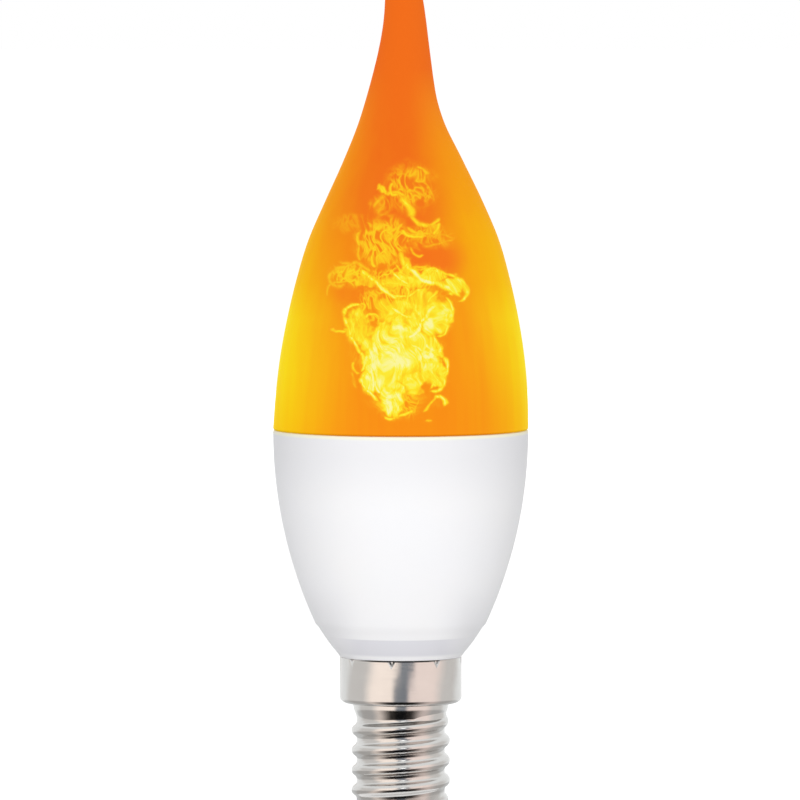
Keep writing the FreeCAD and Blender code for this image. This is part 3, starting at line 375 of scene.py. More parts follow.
def make_screw_shell():
    """The rolled sheet: lip, thread, neck and collar, then back down inside."""
    even = np.linspace(0, 2 * np.pi, 128, endpoint=False)
    extra = []
    for index in range(CRIMPS):
        middle = math.radians(CRIMP_ANGLE) + index * 2 * np.pi / CRIMPS
        for side in (0.02, 0.12, 0.22, 0.32, 0.42, 0.52, 0.62, 0.72):
            extra += [middle - side / COLLAR_RADIUS, middle + side / COLLAR_RADIUS]
    angles = np.unique(np.round(np.concatenate([even, np.array(extra)]) % (2 * np.pi), 5))
    keep = [angles[0]]
    for angle in angles[1:]:
        if angle - keep[-1] > 0.004:
            keep.append(angle)
    angles = np.array(keep)
    root = THREAD_ROOT + ROOT_FLAT
    lip = root - LIP_RADIUS
    low = SHELL_BOTTOM + LIP_RADIUS
    outer = []
    for angle in np.linspace(-90, 0, 9):
        a = math.radians(angle)
        outer.append((lip + LIP_RADIUS * math.cos(a), low + LIP_RADIUS * math.sin(a)))
    for height in np.linspace(low + 0.13, NECK_BOTTOM - NECK_TAPER, 100):
        outer.append((root, height))
    for share in (0.12, 0.25, 0.37, 0.5, 0.63, 0.75, 0.88, 1.0):
        height = NECK_BOTTOM - NECK_TAPER + NECK_TAPER * share
        outer.append((root + (NECK_RADIUS - root) * float(ease(share, 0, 1)), height))
    for height in np.linspace(NECK_BOTTOM + 0.2, COLLAR_BOTTOM - 0.25, 7):
        outer.append((NECK_RADIUS, height))
    outer += rounded(
        [
            (NECK_RADIUS, COLLAR_BOTTOM - 0.25),
            (NECK_RADIUS, COLLAR_BOTTOM, 0.14),
            (COLLAR_RADIUS, COLLAR_BOTTOM, COLLAR_CORNER),
            (COLLAR_RADIUS, CAP_TOP - 1.5),
        ],
        steps=9,
    )[1:]
    for height in np.linspace(CAP_TOP - 1.4, CAP_TOP - 0.06, 18):
        outer.append((COLLAR_RADIUS, height))
    rows = []

    def row(radius, height, inset):
        line = shell_radius(radius, angles, height) - inset
        if height > CAP_TOP - CRIMP_HEIGHT - 0.2:
            line = line - crimp_dent(angles, height, COLLAR_RADIUS)
        return ring_at(angles, line, height)

    for radius, height in outer:
        rows.append(row(radius, height, 0))
    rows.append(row(COLLAR_RADIUS, CAP_TOP - 0.015, 0.03))
    rows.append(row(COLLAR_RADIUS, CAP_TOP, 0.08))
    rows.append(row(COLLAR_RADIUS, CAP_TOP, SHELL_WALL - 0.08))
    inner = [(COLLAR_RADIUS, CAP_TOP - 0.05), (COLLAR_RADIUS, CAP_TOP - 0.5)]
    inner += [(COLLAR_RADIUS, CAP_TOP - 1.0), (COLLAR_RADIUS, CAP_TOP - 1.5)]
    inner += rounded(
        [
            (COLLAR_RADIUS, 22.0),
            (COLLAR_RADIUS, COLLAR_BOTTOM + SHELL_WALL, COLLAR_CORNER - SHELL_WALL),
            (NECK_RADIUS, COLLAR_BOTTOM + SHELL_WALL),
        ]
    )
    inner.append((NECK_RADIUS, NECK_BOTTOM + 0.2))
    for height in np.linspace(NECK_BOTTOM - NECK_TAPER, low, 40):
        inner.append((root, height))
    for radius, height in inner:
        rows.append(row(radius, height, SHELL_WALL))
    for angle in (-25, -50, -75, -90):
        a = math.radians(angle)
        inside = LIP_RADIUS - SHELL_WALL
        rows.append(ring_at(angles, lip + inside * math.cos(a), low + inside * math.sin(a)))
    return skin("screw_shell_rolled", rows, closed=True)


# Materials


class Graph:
    """Short names for the nodes of one material or group."""

    def __init__(self, tree):
        self.tree = tree

    def node(self, kind, **settings):
        made = self.tree.nodes.new(kind)
        for name, value in settings.items():
            setattr(made, name, value)
        return made

    def put(self, socket, value):
        if isinstance(value, bpy.types.NodeSocket):
            self.tree.links.new(value, socket)
        elif value is not None:
            socket.default_value = value

    def math(self, operation, *values, clamp=False):
        made = self.node("ShaderNodeMath", operation=operation, use_clamp=clamp)
        for socket, value in zip(made.inputs, values):
            self.put(socket, value)
        return made.outputs[0]

    def group(self, tree, **inputs):
        made = self.node("ShaderNodeGroup", node_tree=tree)
        for name, value in inputs.items():
            self.put(made.inputs[name], value)
        return made.outputs[0]

    def times(self, first, second):
        return self.math("MULTIPLY", first, second)

    def plus(self, first, second):
        return self.math("ADD", first, second)

    def minus(self, first, second):
        return self.math("SUBTRACT", first, second)

    def most(self, first, second):
        return self.math("MAXIMUM", first, second)

    def vector(self, operation, *values):
        made = self.node("ShaderNodeVectorMath", operation=operation)
        for socket, value in zip(made.inputs, values):
            self.put(socket, value)
        return made

    def scaled(self, vector, factor):
        made = self.node("ShaderNodeVectorMath", operation="SCALE")
        self.put(made.inputs[0], vector)
        self.put(made.inputs["Scale"], factor)
        return made.outputs[0]

    def range(self, value, low, high, first=0.0, last=1.0, kind="SMOOTHSTEP"):
        made = self.node("ShaderNodeMapRange", interpolation_type=kind, clamp=True)
        for socket, part in zip(made.inputs, (value, low, high, first, last)):
            self.put(socket, part)
        return made.outputs[0]

    def combine(self, x=0.0, y=0.0, z=0.0):
        made = self.node("ShaderNodeCombineXYZ")
        for socket, value in zip(made.inputs, (x, y, z)):
            self.put(socket, value)
        return made.outputs[0]

    def split(self, vector):
        made = self.node("ShaderNodeSeparateXYZ")
        self.put(made.inputs[0], vector)
        return made.outputs[0], made.outputs[1], made.outputs[2]

    def noise(self, vector, scale, detail=2.0, roughness=0.5, flat=False):
        made = self.node("ShaderNodeTexNoise")
        made.noise_dimensions = "2D" if flat else "3D"
        self.put(made.inputs["Vector"], vector)
        self.put(made.inputs["Scale"], scale)
        self.put(made.inputs["Detail"], detail)
        self.put(made.inputs["Roughness"], roughness)
        return made

    def mix(self, factor, first, second, blend="MIX"):
        made = self.node("ShaderNodeMix", data_type="RGBA", blend_type=blend)
        made.clamp_factor = True
        self.put(made.inputs[0], factor)
        self.put(made.inputs[6], first)
        self.put(made.inputs[7], second)
        return made.outputs[2]

    def ramp(self, value, stops):
        made = self.node("ShaderNodeValToRGB")
        self.put(made.inputs[0], value)
        elements = made.color_ramp.elements
        while len(elements) > 1:
            elements.remove(elements[0])
        elements[0].position, elements[0].color = stops[0]
        for place, color in stops[1:]:
            added = elements.new(place)
            added.color = color
        return made.outputs[0]

    def bump(self, height, distance):
        made = self.node("ShaderNodeBump")
        made.inputs["Distance"].default_value = distance * MM
        self.put(made.inputs["Height"], height)
        return made.outputs["Normal"]


def place_mm(graph):
    """The surface point in the part's own frame, in millimetres."""
    coordinates = graph.node("ShaderNodeTexCoord").outputs["Object"]
    return graph.scaled(coordinates, 1 / MM)


def new_material(name):
    material = bpy.data.materials.new(name)
    material.use_nodes = True
    graph = Graph(material.node_tree)
    shader = material.node_tree.nodes["Principled BSDF"]
    return material, graph, shader


def new_group(name, vectors, numbers):
    """A node group with these inputs and one output, Light."""
    tree = bpy.data.node_groups.new(name, "ShaderNodeTree")
    face = tree.interface
    for label in vectors:
        face.new_socket(label, in_out="INPUT", socket_type="NodeSocketVector")
    for label in numbers:
        face.new_socket(label, in_out="INPUT", socket_type="NodeSocketFloat")
    face.new_socket("Light", in_out="OUTPUT", socket_type="NodeSocketFloat")
    graph = Graph(tree)
    return tree, graph, graph.node("NodeGroupInput").outputs


def strand_group():
    """A thin bright arc. End and Full are cosines of the angles from its middle."""
    numbers = ("Radius", "End", "Full", "Width", "Strength", "Before")
    tree, graph, given = new_group("flame_strand", ("Place", "Centre", "Way"), numbers)
    away = graph.vector("SUBTRACT", given["Place"], given["Centre"]).outputs[0]
    distance = graph.vector("LENGTH", away).outputs["Value"]
    cosine = graph.vector("DOT_PRODUCT", away, given["Way"]).outputs["Value"]
    cosine = graph.math("DIVIDE", cosine, distance)
    fade = graph.range(cosine, given["End"], given["Full"])
    width = graph.times(given["Width"], graph.plus(fade, 0.25))
    off = graph.math("DIVIDE", graph.minus(distance, given["Radius"]), width)
    across = graph.math("POWER", 0.22, graph.times(off, off))
    light = graph.times(graph.times(across, fade), given["Strength"])
    light = graph.most(light, given["Before"])
    graph.put(graph.node("NodeGroupOutput").inputs["Light"], light)
    return tree


def blob_group():
    """A soft round patch: 1 at its middle and 0 outside its two radii."""
    numbers = ("Plateau", "Strength", "Before")
    tree, graph, given = new_group("flame_blob", ("Place", "Centre", "Size"), numbers)
    away = graph.vector("SUBTRACT", given["Place"], given["Centre"]).outputs[0]
    away = graph.vector("DIVIDE", away, given["Size"]).outputs[0]
    distance = graph.vector("LENGTH", away).outputs["Value"]
    light = graph.range(distance, given["Plateau"], 1.1, 1.0, 0.0)
    light = graph.times(light, given["Strength"])
    light = graph.most(light, given["Before"])
    graph.put(graph.node("NodeGroupOutput").inputs["Light"], light)
    return tree


# The flame in the diffuser, drawn across and up.
# A strand: the three points of its arc, width, light
STRANDS = [
    (2.2, 94.2, 3.0, 93.9, 4.1, 93.3, 0.28, 0.5),
    (-0.4, 93.5, 0.6, 93.3, 1.5, 92.9, 0.28, 0.42),
    (2.1, 92.9, 3.5, 91.8, 4.6, 89.5, 0.26, 0.42),
    (-3.2, 91.8, -2.9, 91.3, -2.2, 90.7, 0.34, 0.72),
    (-3.4, 91.2, -2.4, 91.2, -2.1, 90.4, 0.28, 0.66),
    (-0.9, 92.1, -1.5, 91.4, -0.2, 90.7, 0.3, 0.74),
    (-2.1, 90.5, -0.8, 90.9, 0.5, 90.0, 0.32, 0.62),
    (0.0, 90.2, 1.0, 88.9, 1.7, 87.2, 0.72, 0.8),
    (1.3, 87.6, 2.6, 86.5, 4.3, 86.3, 0.4, 0.72),
    (4.2, 86.3, 5.0, 86.7, 5.3, 87.4, 0.26, 0.6),
    (5.4, 86.7, 5.2, 85.8, 4.2, 85.1, 0.34, 0.68),
    (0.8, 85.9, 2.2, 85.3, 4.3, 85.2, 0.3, 0.6),
    (-0.0, 85.6, 1.4, 84.8, 3.4, 84.7, 0.34, 0.74),
    (3.0, 84.7, 5.8, 84.8, 7.6, 84.4, 0.28, 0.42),
    (7.6, 84.4, 5.8, 83.8, 3.0, 83.4, 0.28, 0.42),
    (1.3, 83.2, 1.8, 82.4, 3.1, 82.2, 0.24, 0.55),
    (-3.6, 88.6, -3.2, 89.6, -2.0, 90.3, 0.46, 0.46),
    (-5.6, 85.3, -6.0, 84.2, -5.7, 83.2, 0.36, 0.62),
    (-5.8, 83.3, -6.0, 82.1, -5.6, 81.3, 0.3, 0.5),
    (-4.7, 86.7, -3.5, 86.0, -2.7, 85.1, 0.26, 0.4),
    (-3.7, 84.4, -3.1, 83.9, -2.4, 83.4, 0.28, 0.42),
    (-2.4, 86.6, -2.3, 85.4, -1.6, 83.7, 0.3, 0.58),
    (-1.6, 83.8, -1.5, 82.6, -2.0, 81.6, 0.3, 0.55),
    (0.2, 86.6, -0.5, 85.5, -1.0, 84.2, 0.34, 0.62),
    (-1.0, 84.2, -0.6, 83.2, 0.0, 82.5, 0.26, 0.5),
    (-4.0, 82.4, -4.0, 81.3, -3.5, 80.4, 0.32, 0.66),
    (-2.7, 82.6, -2.4, 81.7, -2.4, 80.9, 0.24, 0.42),
    (-0.1, 82.8, 0.4, 81.3, 1.7, 80.0, 0.62, 0.9),
    (1.2, 80.3, 3.0, 78.9, 5.1, 78.3, 0.56, 1.0),
    (4.6, 78.5, 6.6, 77.6, 8.2, 76.4, 0.5, 0.88),
    (3.2, 80.3, 5.8, 79.7, 7.8, 78.9, 0.34, 0.72),
    (7.6, 79.1, 8.7, 78.0, 9.2, 76.4, 0.4, 0.85),
    (-0.8, 81.1, 0.1, 79.9, 1.2, 79.1, 0.26, 0.6),
    (-1.0, 79.8, -0.0, 78.8, 1.2, 78.2, 0.34, 0.86),
    (-8.9, 81.1, -7.5, 81.0, -6.2, 80.9, 0.3, 0.42),
    (-10.0, 78.3, -9.2, 79.9, -7.3, 80.5, 0.5, 0.46),
    (-7.4, 80.5, -5.8, 80.9, -4.3, 79.5, 0.4, 0.54),
    (-5.5, 80.2, -4.7, 79.3, -3.6, 78.6, 0.42, 0.92),
    (-3.8, 78.8, -2.4, 77.7, -1.4, 76.7, 0.36, 0.9),
    (-9.8, 78.0, -7.9, 78.5, -5.4, 78.3, 0.3, 0.45),
    (-10.3, 76.3, -10.3, 77.3, -9.6, 78.2, 0.28, 0.38),
    (2.8, 77.4, 1.8, 77.0, 1.0, 76.3, 0.3, 0.8),
    (-2.4, 78.4, -0.5, 78.1, 1.8, 78.0, 0.34, 0.72),
    (-1.5, 76.7, -0.4, 76.4, 1.0, 76.5, 0.3, 0.8),
    (-2.1, 81.1, -1.5, 80.1, -1.1, 79.2, 0.26, 0.5),
    (-3.6, 78.7, -1.8, 77.0, -0.4, 76.1, 0.34, 0.9),
    (-10.0, 78.9, -9.7, 78.2, -7.8, 78.3, 0.44, 0.42),
    (-7.9, 73.5, -7.5, 74.8, -5.7, 75.4, 0.34, 0.82),
    (-7.9, 73.6, -7.3, 71.9, -7.2, 70.8, 0.38, 0.86),
    (-5.8, 75.4, -5.0, 75.2, -5.6, 74.4, 0.26, 0.6),
    (-6.6, 73.7, -5.9, 72.9, -5.6, 71.9, 0.28, 0.62),
    (-5.0, 73.3, -4.0, 73.9, -3.0, 73.4, 0.3, 0.72),
    (-9.8, 72.0, -8.7, 71.5, -7.5, 71.6, 0.32, 0.66),
    (-7.3, 71.0, -6.3, 69.9, -5.5, 68.5, 0.36, 0.95),
    (-5.6, 68.7, -5.0, 67.4, -5.4, 66.0, 0.36, 0.86),
    (7.6, 78.9, 9.3, 77.1, 8.0, 75.6, 0.36, 0.84),
    (6.3, 76.2, 7.3, 74.2, 6.7, 72.5, 0.34, 0.82),
    (6.8, 72.6, 6.2, 71.5, 4.9, 70.9, 0.3, 0.74),
    (-1.6, 75.0, 0.2, 74.0, 1.8, 73.4, 0.34, 0.86),
    (5.0, 75.4, 4.0, 74.3, 2.6, 72.8, 0.52, 1.0),
    (2.8, 73.0, 2.2, 71.5, 0.9, 70.7, 0.5, 1.0),
    (4.3, 71.0, 5.3, 69.3, 5.9, 67.9, 0.34, 0.86),
    (5.9, 68.1, 6.5, 66.8, 6.0, 65.1, 0.34, 0.82),
    (6.1, 65.3, 5.0, 63.4, 4.1, 63.3, 0.32, 0.82),
    (-6.4, 67.5, -6.7, 66.5, -5.6, 65.8, 0.26, 0.62),
    (-6.9, 66.1, -6.8, 65.1, -6.1, 63.9, 0.26, 0.4),
    (-5.5, 65.3, -4.7, 63.5, -3.1, 62.1, 0.32, 0.98),
    (-3.3, 65.2, -3.6, 64.2, -2.7, 63.1, 0.4, 1.0),
    (-1.6, 63.7, -1.9, 61.9, -1.4, 60.0, 0.62, 1.0),
    (-0.6, 64.1, -0.3, 62.9, 0.2, 61.3, 0.28, 0.66),
    (4.3, 67.2, 4.8, 65.5, 4.1, 63.6, 0.3, 0.74),
    (5.3, 66.4, 5.8, 65.5, 5.1, 64.4, 0.26, 0.66),
    (3.3, 60.7, 4.3, 61.7, 5.2, 62.9, 0.24, 0.6),
    (4.6, 62.3, 5.6, 62.6, 6.1, 61.3, 0.34, 0.84),
    (3.5, 59.5, 3.9, 59.2, 4.3, 59.4, 0.3, 0.42),
    (-0.6, 59.9, 0.7, 60.1, 1.8, 60.9, 0.3, 0.66),
    (-2.3, 59.9, -1.6, 59.6, -0.7, 59.8, 0.34, 0.72),
    (1.4, 60.2, 2.2, 61.2, 2.6, 62.2, 0.26, 0.46),
    (3.4, 70.0, 4.3, 69.2, 5.3, 68.9, 0.4, 0.98),
    (1.1, 70.0, 2.7, 69.2, 4.3, 68.7, 0.34, 0.9),
    (5.4, 77.3, 4.3, 76.5, 3.7, 75.3, 0.3, 0.8),
    (0.5, 78.0, 1.1, 76.5, -0.0, 75.3, 0.28, 0.74),
    (-2.7, 76.3, -2.3, 75.0, -1.0, 74.2, 0.26, 0.72),
]

# The flame's body: middle, half width and half height, light
BODY = [
    (-2.3, 66.8, 3.6, 4.4, 1.0),
    (-1.1, 62.3, 2.2, 3.1, 0.95),
    (-4.0, 65.3, 1.9, 2.6, 0.88),
    (-0.5, 70.0, 6.0, 3.5, 0.94),
    (3.9, 68.6, 2.3, 3.0, 0.9),
    (4.9, 73.7, 3.0, 3.0, 0.84),
    (0.5, 74.2, 4.4, 2.5, 0.74),
    (-6.1, 72.4, 2.1, 3.1, 0.7),
    (4.8, 65.8, 2.0, 2.3, 0.78),
    (4.2, 79.2, 2.3, 1.2, 0.74),
    (7.0, 77.9, 2.3, 1.5, 0.78),
    (0.5, 78.5, 3.7, 1.2, 0.7),
    (3.1, 76.3, 2.6, 1.5, 0.68),
    (-4.7, 78.7, 2.0, 1.0, 0.55),
    (1.9, 64.8, 2.4, 1.9, 0.78),
    (0.8, 80.8, 1.1, 1.6, 0.62),
    (1.8, 85.0, 2.0, 0.45, 0.5),
    (4.3, 85.8, 1.3, 1.0, 0.45),
]

# Its brightest spots, in the same way
SPARKS = [
    (-0.5, 67.6, 6.0, 3.9, 0.93),
    (-2.9, 64.9, 1.7, 2.8, 0.9),
    (3.9, 72.4, 1.6, 2.6, 0.94),
    (1.8, 70.7, 1.8, 1.2, 0.98),
    (3.9, 68.4, 1.7, 1.1, 0.98),
    (-1.6, 61.9, 1.0, 2.5, 1.0),
    (-4.9, 69.8, 0.9, 1.7, 0.85),
]

# The haze round it, in the same way
HAZE = [
    (1.4, 91.4, 4.4, 4.0, 0.7),
    (-2.7, 89.0, 2.2, 1.9, 0.55),
    (-2.5, 83.8, 4.9, 4.6, 0.88),
    (4.2, 84.8, 4.4, 2.2, 0.6),
    (-7.3, 86.5, 2.9, 1.6, 0.45),
    (-7.2, 79.3, 3.7, 2.2, 0.9),
    (0.9, 78.9, 6.8, 2.6, 1.0),
    (-0.3, 75.0, 9.2, 4.4, 0.9),
    (-0.5, 69.0, 7.6, 6.8, 1.0),
    (-0.5, 62.4, 4.8, 3.6, 0.8),
    (5.4, 62.0, 1.6, 1.8, 0.3),
]

# Gaps of plain orange in the haze, in the same way
HOLES = [
    (-7.2, 76.4, 2.2, 1.7, 0.85),
    (2.7, 89.3, 0.9, 0.7, 0.9),
    (2.4, 81.7, 1.6, 1.2, 1.0),
    (1.3, 86.7, 0.8, 0.6, 0.8),
    (6.4, 77.0, 0.8, 0.4, 0.8),
    (2.9, 63.3, 1.1, 1.1, 0.45),
    (-4.2, 74.2, 1.2, 0.6, 0.6),
    (-2.6, 80.5, 0.8, 0.7, 0.6),
]


def circle_through(ax, ay, bx, by, cx, cy):
    """Middle, radius, middle angle and half angle of the arc through three points."""
    d = 2 * (ax * (by - cy) + bx * (cy - ay) + cx * (ay - by))
    a2, b2, c2 = ax**2 + ay**2, bx**2 + by**2, cx**2 + cy**2
    ux = (a2 * (by - cy) + b2 * (cy - ay) + c2 * (ay - by)) / d
    uy = (a2 * (cx - bx) + b2 * (ax - cx) + c2 * (bx - ax)) / d
    radius = math.hypot(ax - ux, ay - uy)
    start = math.atan2(ay - uy, ax - ux)
    through = math.atan2(by - uy, bx - ux)
    end = math.atan2(cy - uy, cx - ux)
    sweep = (end - start) % (2 * math.pi)
    if (through - start) % (2 * math.pi) > sweep:
        sweep -= 2 * math.pi
    middle = start + sweep / 2
    middle = (middle + math.pi) % (2 * math.pi) - math.pi
    return (ux, uy), radius, middle, abs(sweep) / 2


def diffuser_material():
    material, graph, shader = new_material("lit_diffuser")
    place = place_mm(graph)
    x, y, z = graph.split(place)
    side = graph.times(graph.math("SIGN", y), -1.0)
    across = graph.times(x, side)

    # Plain glow: orange in front, yellow at the sides low down, redder towards the tail
    height = graph.range(z, SEAM, TIP, kind="LINEAR")

    def level(value):
        return max((value - SEAM) / (TIP - SEAM), 0.0)

    middle_glow = graph.ramp(
        height,
        [
            (level(57), tone(247, 142, 22)),
            (level(70), tone(246, 140, 22)),
            (level(78), tone(244, 132, 23)),
            (level(84), tone(243, 124, 24)),
            (level(88), tone(240, 118, 26)),
            (level(95), tone(239, 111, 26)),
            (level(124), tone(239, 107, 28)),
        ],
    )
    side_glow = graph.ramp(
        height,
        [
            (level(57), tone(251, 208, 14)),
            (level(66), tone(252, 226, 20)),
            (level(73), tone(252, 225, 22)),
            (level(78), tone(250, 198, 14)),
            (level(84), tone(249, 184, 14)),
            (level(89), tone(248, 168, 18)),
            (level(96), tone(247, 156, 22)),
            (level(102), tone(244, 138, 30)),
            (level(108), tone(239, 110, 30)),
        ],
    )
    off_axis = graph.vector("LENGTH", graph.combine(x, y, 0.0)).outputs["Value"]
    off_axis = graph.most(off_axis, 0.01)
    share = graph.math("DIVIDE", graph.math("ABSOLUTE", x), off_axis)
    slant = graph.math("DIVIDE", across, off_axis)
    slant = graph.times(slant, graph.range(z, 60.0, 87.0, 1.9, -1.9, kind="LINEAR"))
    fall = graph.range(z, 58.0, 84.0, 3.4, 2.1, kind="LINEAR")
    share = graph.math("POWER", share, graph.plus(slant, fall))
    streaks = graph.noise(graph.combine(x, y, graph.times(z, 0.03)), 0.55, 3.0)
    wobble = graph.times(graph.minus(streaks.outputs[0], 0.5), 0.24)
    share = graph.math("ADD", share, wobble, clamp=True)
    glow = graph.mix(share, middle_glow, side_glow)

    # Deeper orange behind the flame's upper half
    flat = graph.combine(across, z, 0.0)
    blob_tree = blob_group()
    strand_tree = strand_group()

    def blob(where, middle, size, strength, plateau=0.35, before=0.0):
        centre, size = (*middle, 0.0), (*size, 1.0)
        given = dict(Plateau=plateau, Strength=strength, Before=before)
        return graph.group(blob_tree, Place=where, Centre=centre, Size=size, **given)

    red = blob(flat, (4.0, 81.5), (5.8, 4.2), 0.8)
    red = blob(flat, (0.0, 88.5), (7.0, 7.5), 0.55, before=red)
    red = blob(flat, (-6.6, 77.0), (4.0, 2.4), 0.35, before=red)
    glow = graph.mix(red, glow, tone(243, 112, 30))

    # Turbulence: the flame's lines are pushed about by slow and by fast noise
    def pushed(where, scale, detail, reach):
        drift = graph.noise(flat, scale, detail, 0.6, flat=True).outputs["Color"]
        drift = graph.vector("SUBTRACT", drift, (0.5, 0.5, 0.5)).outputs[0]
        return graph.vector("ADD", where, graph.scaled(drift, reach)).outputs[0]

    rough = pushed(flat, 0.45, 2.0, 1.9)
    flow = pushed(flat, 0.2, 1.0, 4.0)
    drawn = pushed(flat, 0.5, 1.5, 0.75)

    def patches(rows, where, plateau):
        total = 0.0
        for across, up, half_width, half_height, strength in rows:
            size = (half_width, half_height)
            total = blob(where, (across, up), size, strength, plateau, total)
        return total

    body = patches(BODY, rough, 0.64)
    haze = patches(HAZE, rough, 0.45)
    holes = patches(HOLES, drawn, 0.4)
    sparks = patches(SPARKS, drawn, 0.2)
    haze = graph.times(haze, graph.minus(1.0, holes))

    # Fibres run along the flow, leaning a little to the left
    turned = graph.node("ShaderNodeMapping", vector_type="TEXTURE")
    graph.put(turned.inputs["Vector"], flow)
    turned.inputs["Rotation"].default_value = (0.0, 0.0, math.radians(16))
    turned.inputs["Scale"].default_value = (1.0, 2.6, 1.0)
    fibre = turned.outputs[0]

    def threads(where, scale, sharp, detail):
        value = graph.noise(where, scale, detail, 0.55, flat=True).outputs[0]
        value = graph.math("ABSOLUTE", graph.minus(value, 0.5))
        return graph.math("SUBTRACT", 1.0, graph.math("MULTIPLY", value, sharp), clamp=True)

    curls = graph.vector("MULTIPLY", flow, (1.0, 0.6, 1.0)).outputs[0]
    coarse = threads(curls, 0.5, 11.0, 2.0)
    fine = threads(fibre, 0.9, 7.0, 2.0)
    wisps = graph.most(coarse, graph.times(fine, 0.9))

    strands = 0.0
    for *points, width, strength in STRANDS:
        centre, radius, angle, reach = circle_through(*points)
        strands = graph.group(
            strand_tree,
            Place=drawn,
            Centre=(*centre, 0.0),
            Way=(math.cos(angle), math.sin(angle), 0.0),
            Radius=radius,
            End=math.cos(min(reach * 1.28, 3.1)),
            Full=math.cos(reach * 0.6),
            Width=width * 0.86,
            Strength=strength * (0.86 if points[3] > 80 else 1.0),
            Before=strands,
        )

    mottle = graph.noise(curls, 0.7, 2.5, 0.55, flat=True).outputs[0]
    mottle = graph.range(mottle, 0.3, 0.7, -0.24, 0.2, kind="LINEAR")
    grain = graph.noise(fibre, 1.3, 2.5, 0.6, flat=True).outputs[0]
    grain = graph.range(grain, 0.34, 0.66, -0.17, 0.17, kind="LINEAR")

    # The body, the haze round it, its brightest spots and the strands, the brightest on top
    inside = graph.plus(graph.times(mottle, 0.35), graph.times(wisps, 0.16))
    inside = graph.plus(graph.plus(inside, grain), 0.76)
    flame = graph.times(body, inside)
    kept = graph.minus(1.0, graph.times(holes, 0.6))
    flame = graph.times(flame, kept)
    around = graph.plus(graph.times(wisps, 0.54), 0.11)
    flame = graph.most(flame, graph.times(haze, around))
    flame = graph.most(flame, graph.times(sparks, graph.plus(grain, 0.98)))
    bright = graph.plus(graph.times(mottle, 0.5), graph.times(wisps, 0.26))
    bright = graph.plus(bright, 0.78)
    flame = graph.most(flame, graph.times(strands, bright))
    hue = graph.ramp(
        flame,
        [
            (0.0, tone(247, 146, 26)),
            (0.3, tone(249, 174, 30)),
            (0.46, tone(250, 196, 34)),
            (0.6, tone(250, 218, 38)),
            (0.74, tone(249, 233, 58)),
            (0.86, tone(247, 238, 106)),
            (1.0, tone(248, 242, 156)),
        ],
    )
    amount = graph.range(flame, 0.0, 0.36, kind="LINEAR")
    pattern = graph.mix(amount, glow, hue)

    # A darker line where the foot meets the housing
    foot = graph.range(z, 57.12, 57.4, 0.72, 1.0)
    pattern = graph.mix(1.0, pattern, graph.combine(foot, foot, foot), "MULTIPLY")

    shade = graph.mix(1.0, pattern, (0.24, 0.24, 0.24, 1.0), "MULTIPLY")
    graph.put(shader.inputs["Base Color"], shade)
    graph.put(shader.inputs["Emission Color"], pattern)
    shader.inputs["Emission Strength"].default_value = 0.78
    shader.inputs["Roughness"].default_value = 0.5
    shader.inputs["Specular IOR Level"].default_value = 0.006
    relief = graph.noise(place, 2.2, 2.0)
    graph.put(shader.inputs["Normal"], graph.bump(relief.outputs[0], 0.004))
    return material


def housing_material():
    material, graph, shader = new_material("white_housing")
    place = place_mm(graph)
    broad = graph.noise(place, 0.08, 2.0).outputs[0]
    fine = graph.noise(place, 5.0, 2.0).outputs[0]
    x, _, z = graph.split(place)
    aside = graph.math("ABSOLUTE", x)
    color = graph.mix(broad, tone(248, 247, 246), tone(244, 245, 248))
    # Painted shade, greyer in the band at the foot, under the rim and at the sides low down,
    # and painted light at the rim
    # Painted shade on the band at the foot, strongest in front and behind
    band_painted_shade = graph.times(graph.range(z, 27.96, 28.16, 1.0, 0.0), graph.range(z, 25.4, 25.9))
    band_painted_shade = graph.times(band_painted_shade, graph.range(aside, 5.5, 10.0, 1.0, 0.25))
    color = graph.mix(band_painted_shade, color, tone(226, 226, 231))
    # Painted shade: greyer towards the top, under the diffuser's rim
    color = graph.mix(graph.range(z, 46.0, 55.0), color, tone(238, 238, 240))
    # Painted shade: greyer at the sides low down
    low = graph.times(graph.range(z, 29.0, 37.0, 0.8, 0.0), graph.range(aside, 5.0, 10.5))
    color = graph.mix(low, color, tone(234, 234, 236))
    # Painted light: a pale yellow rim just under the diffuser
    painted_rim_light = graph.range(z, 56.4, 56.8)
    color = graph.mix(painted_rim_light, color, tone(252, 248, 224))
    graph.put(shader.inputs["Base Color"], color)
    graph.put(shader.inputs["Roughness"], graph.range(fine, 0.3, 0.7, 0.34, 0.42))
    shader.inputs["Specular IOR Level"].default_value = 0.16
    graph.put(shader.inputs["Normal"], graph.bump(fine, 0.0025))
    return material


def nickel_material(name, light, dark):
    """Plated sheet with fine lines round it and painted shade, a dark line, at the collar's
    rim.
    """
    material, graph, shader = new_material(name)
    place = place_mm(graph)
    x, y, z = graph.split(place)
    angle = graph.times(graph.math("ARCTAN2", y, x), 1.2)
    lines = graph.noise(graph.combine(angle, 0.0, graph.times(z, 5.0)), 1.6, 3.0)
    broad = graph.noise(place, 0.35, 2.0)
    plate = graph.mix(broad.outputs[0], light, dark)
    # Painted shade: a dark line along the top of the collar, near the middle in front and
    # behind
    edge = graph.range(z, CAP_TOP - 0.28, CAP_TOP - 0.16)
    middle = graph.range(graph.math("ABSOLUTE", x), 3.6, 6.6, 1.0, 0.0)
    edge = graph.times(edge, middle)
    graph.put(shader.inputs["Base Color"], graph.mix(edge, plate, tone(56, 54, 56)))
    shader.inputs["Metallic"].default_value = 1.0
    rough = graph.range(lines.outputs[0], 0.3, 0.7, 0.12, 0.2)
    graph.put(shader.inputs["Roughness"], rough)
    ripple = graph.times(broad.outputs[0], 5.0)
    relief = graph.plus(ripple, graph.times(lines.outputs[0], 0.25))
    graph.put(shader.inputs["Normal"], graph.bump(relief, 0.004))
    return material


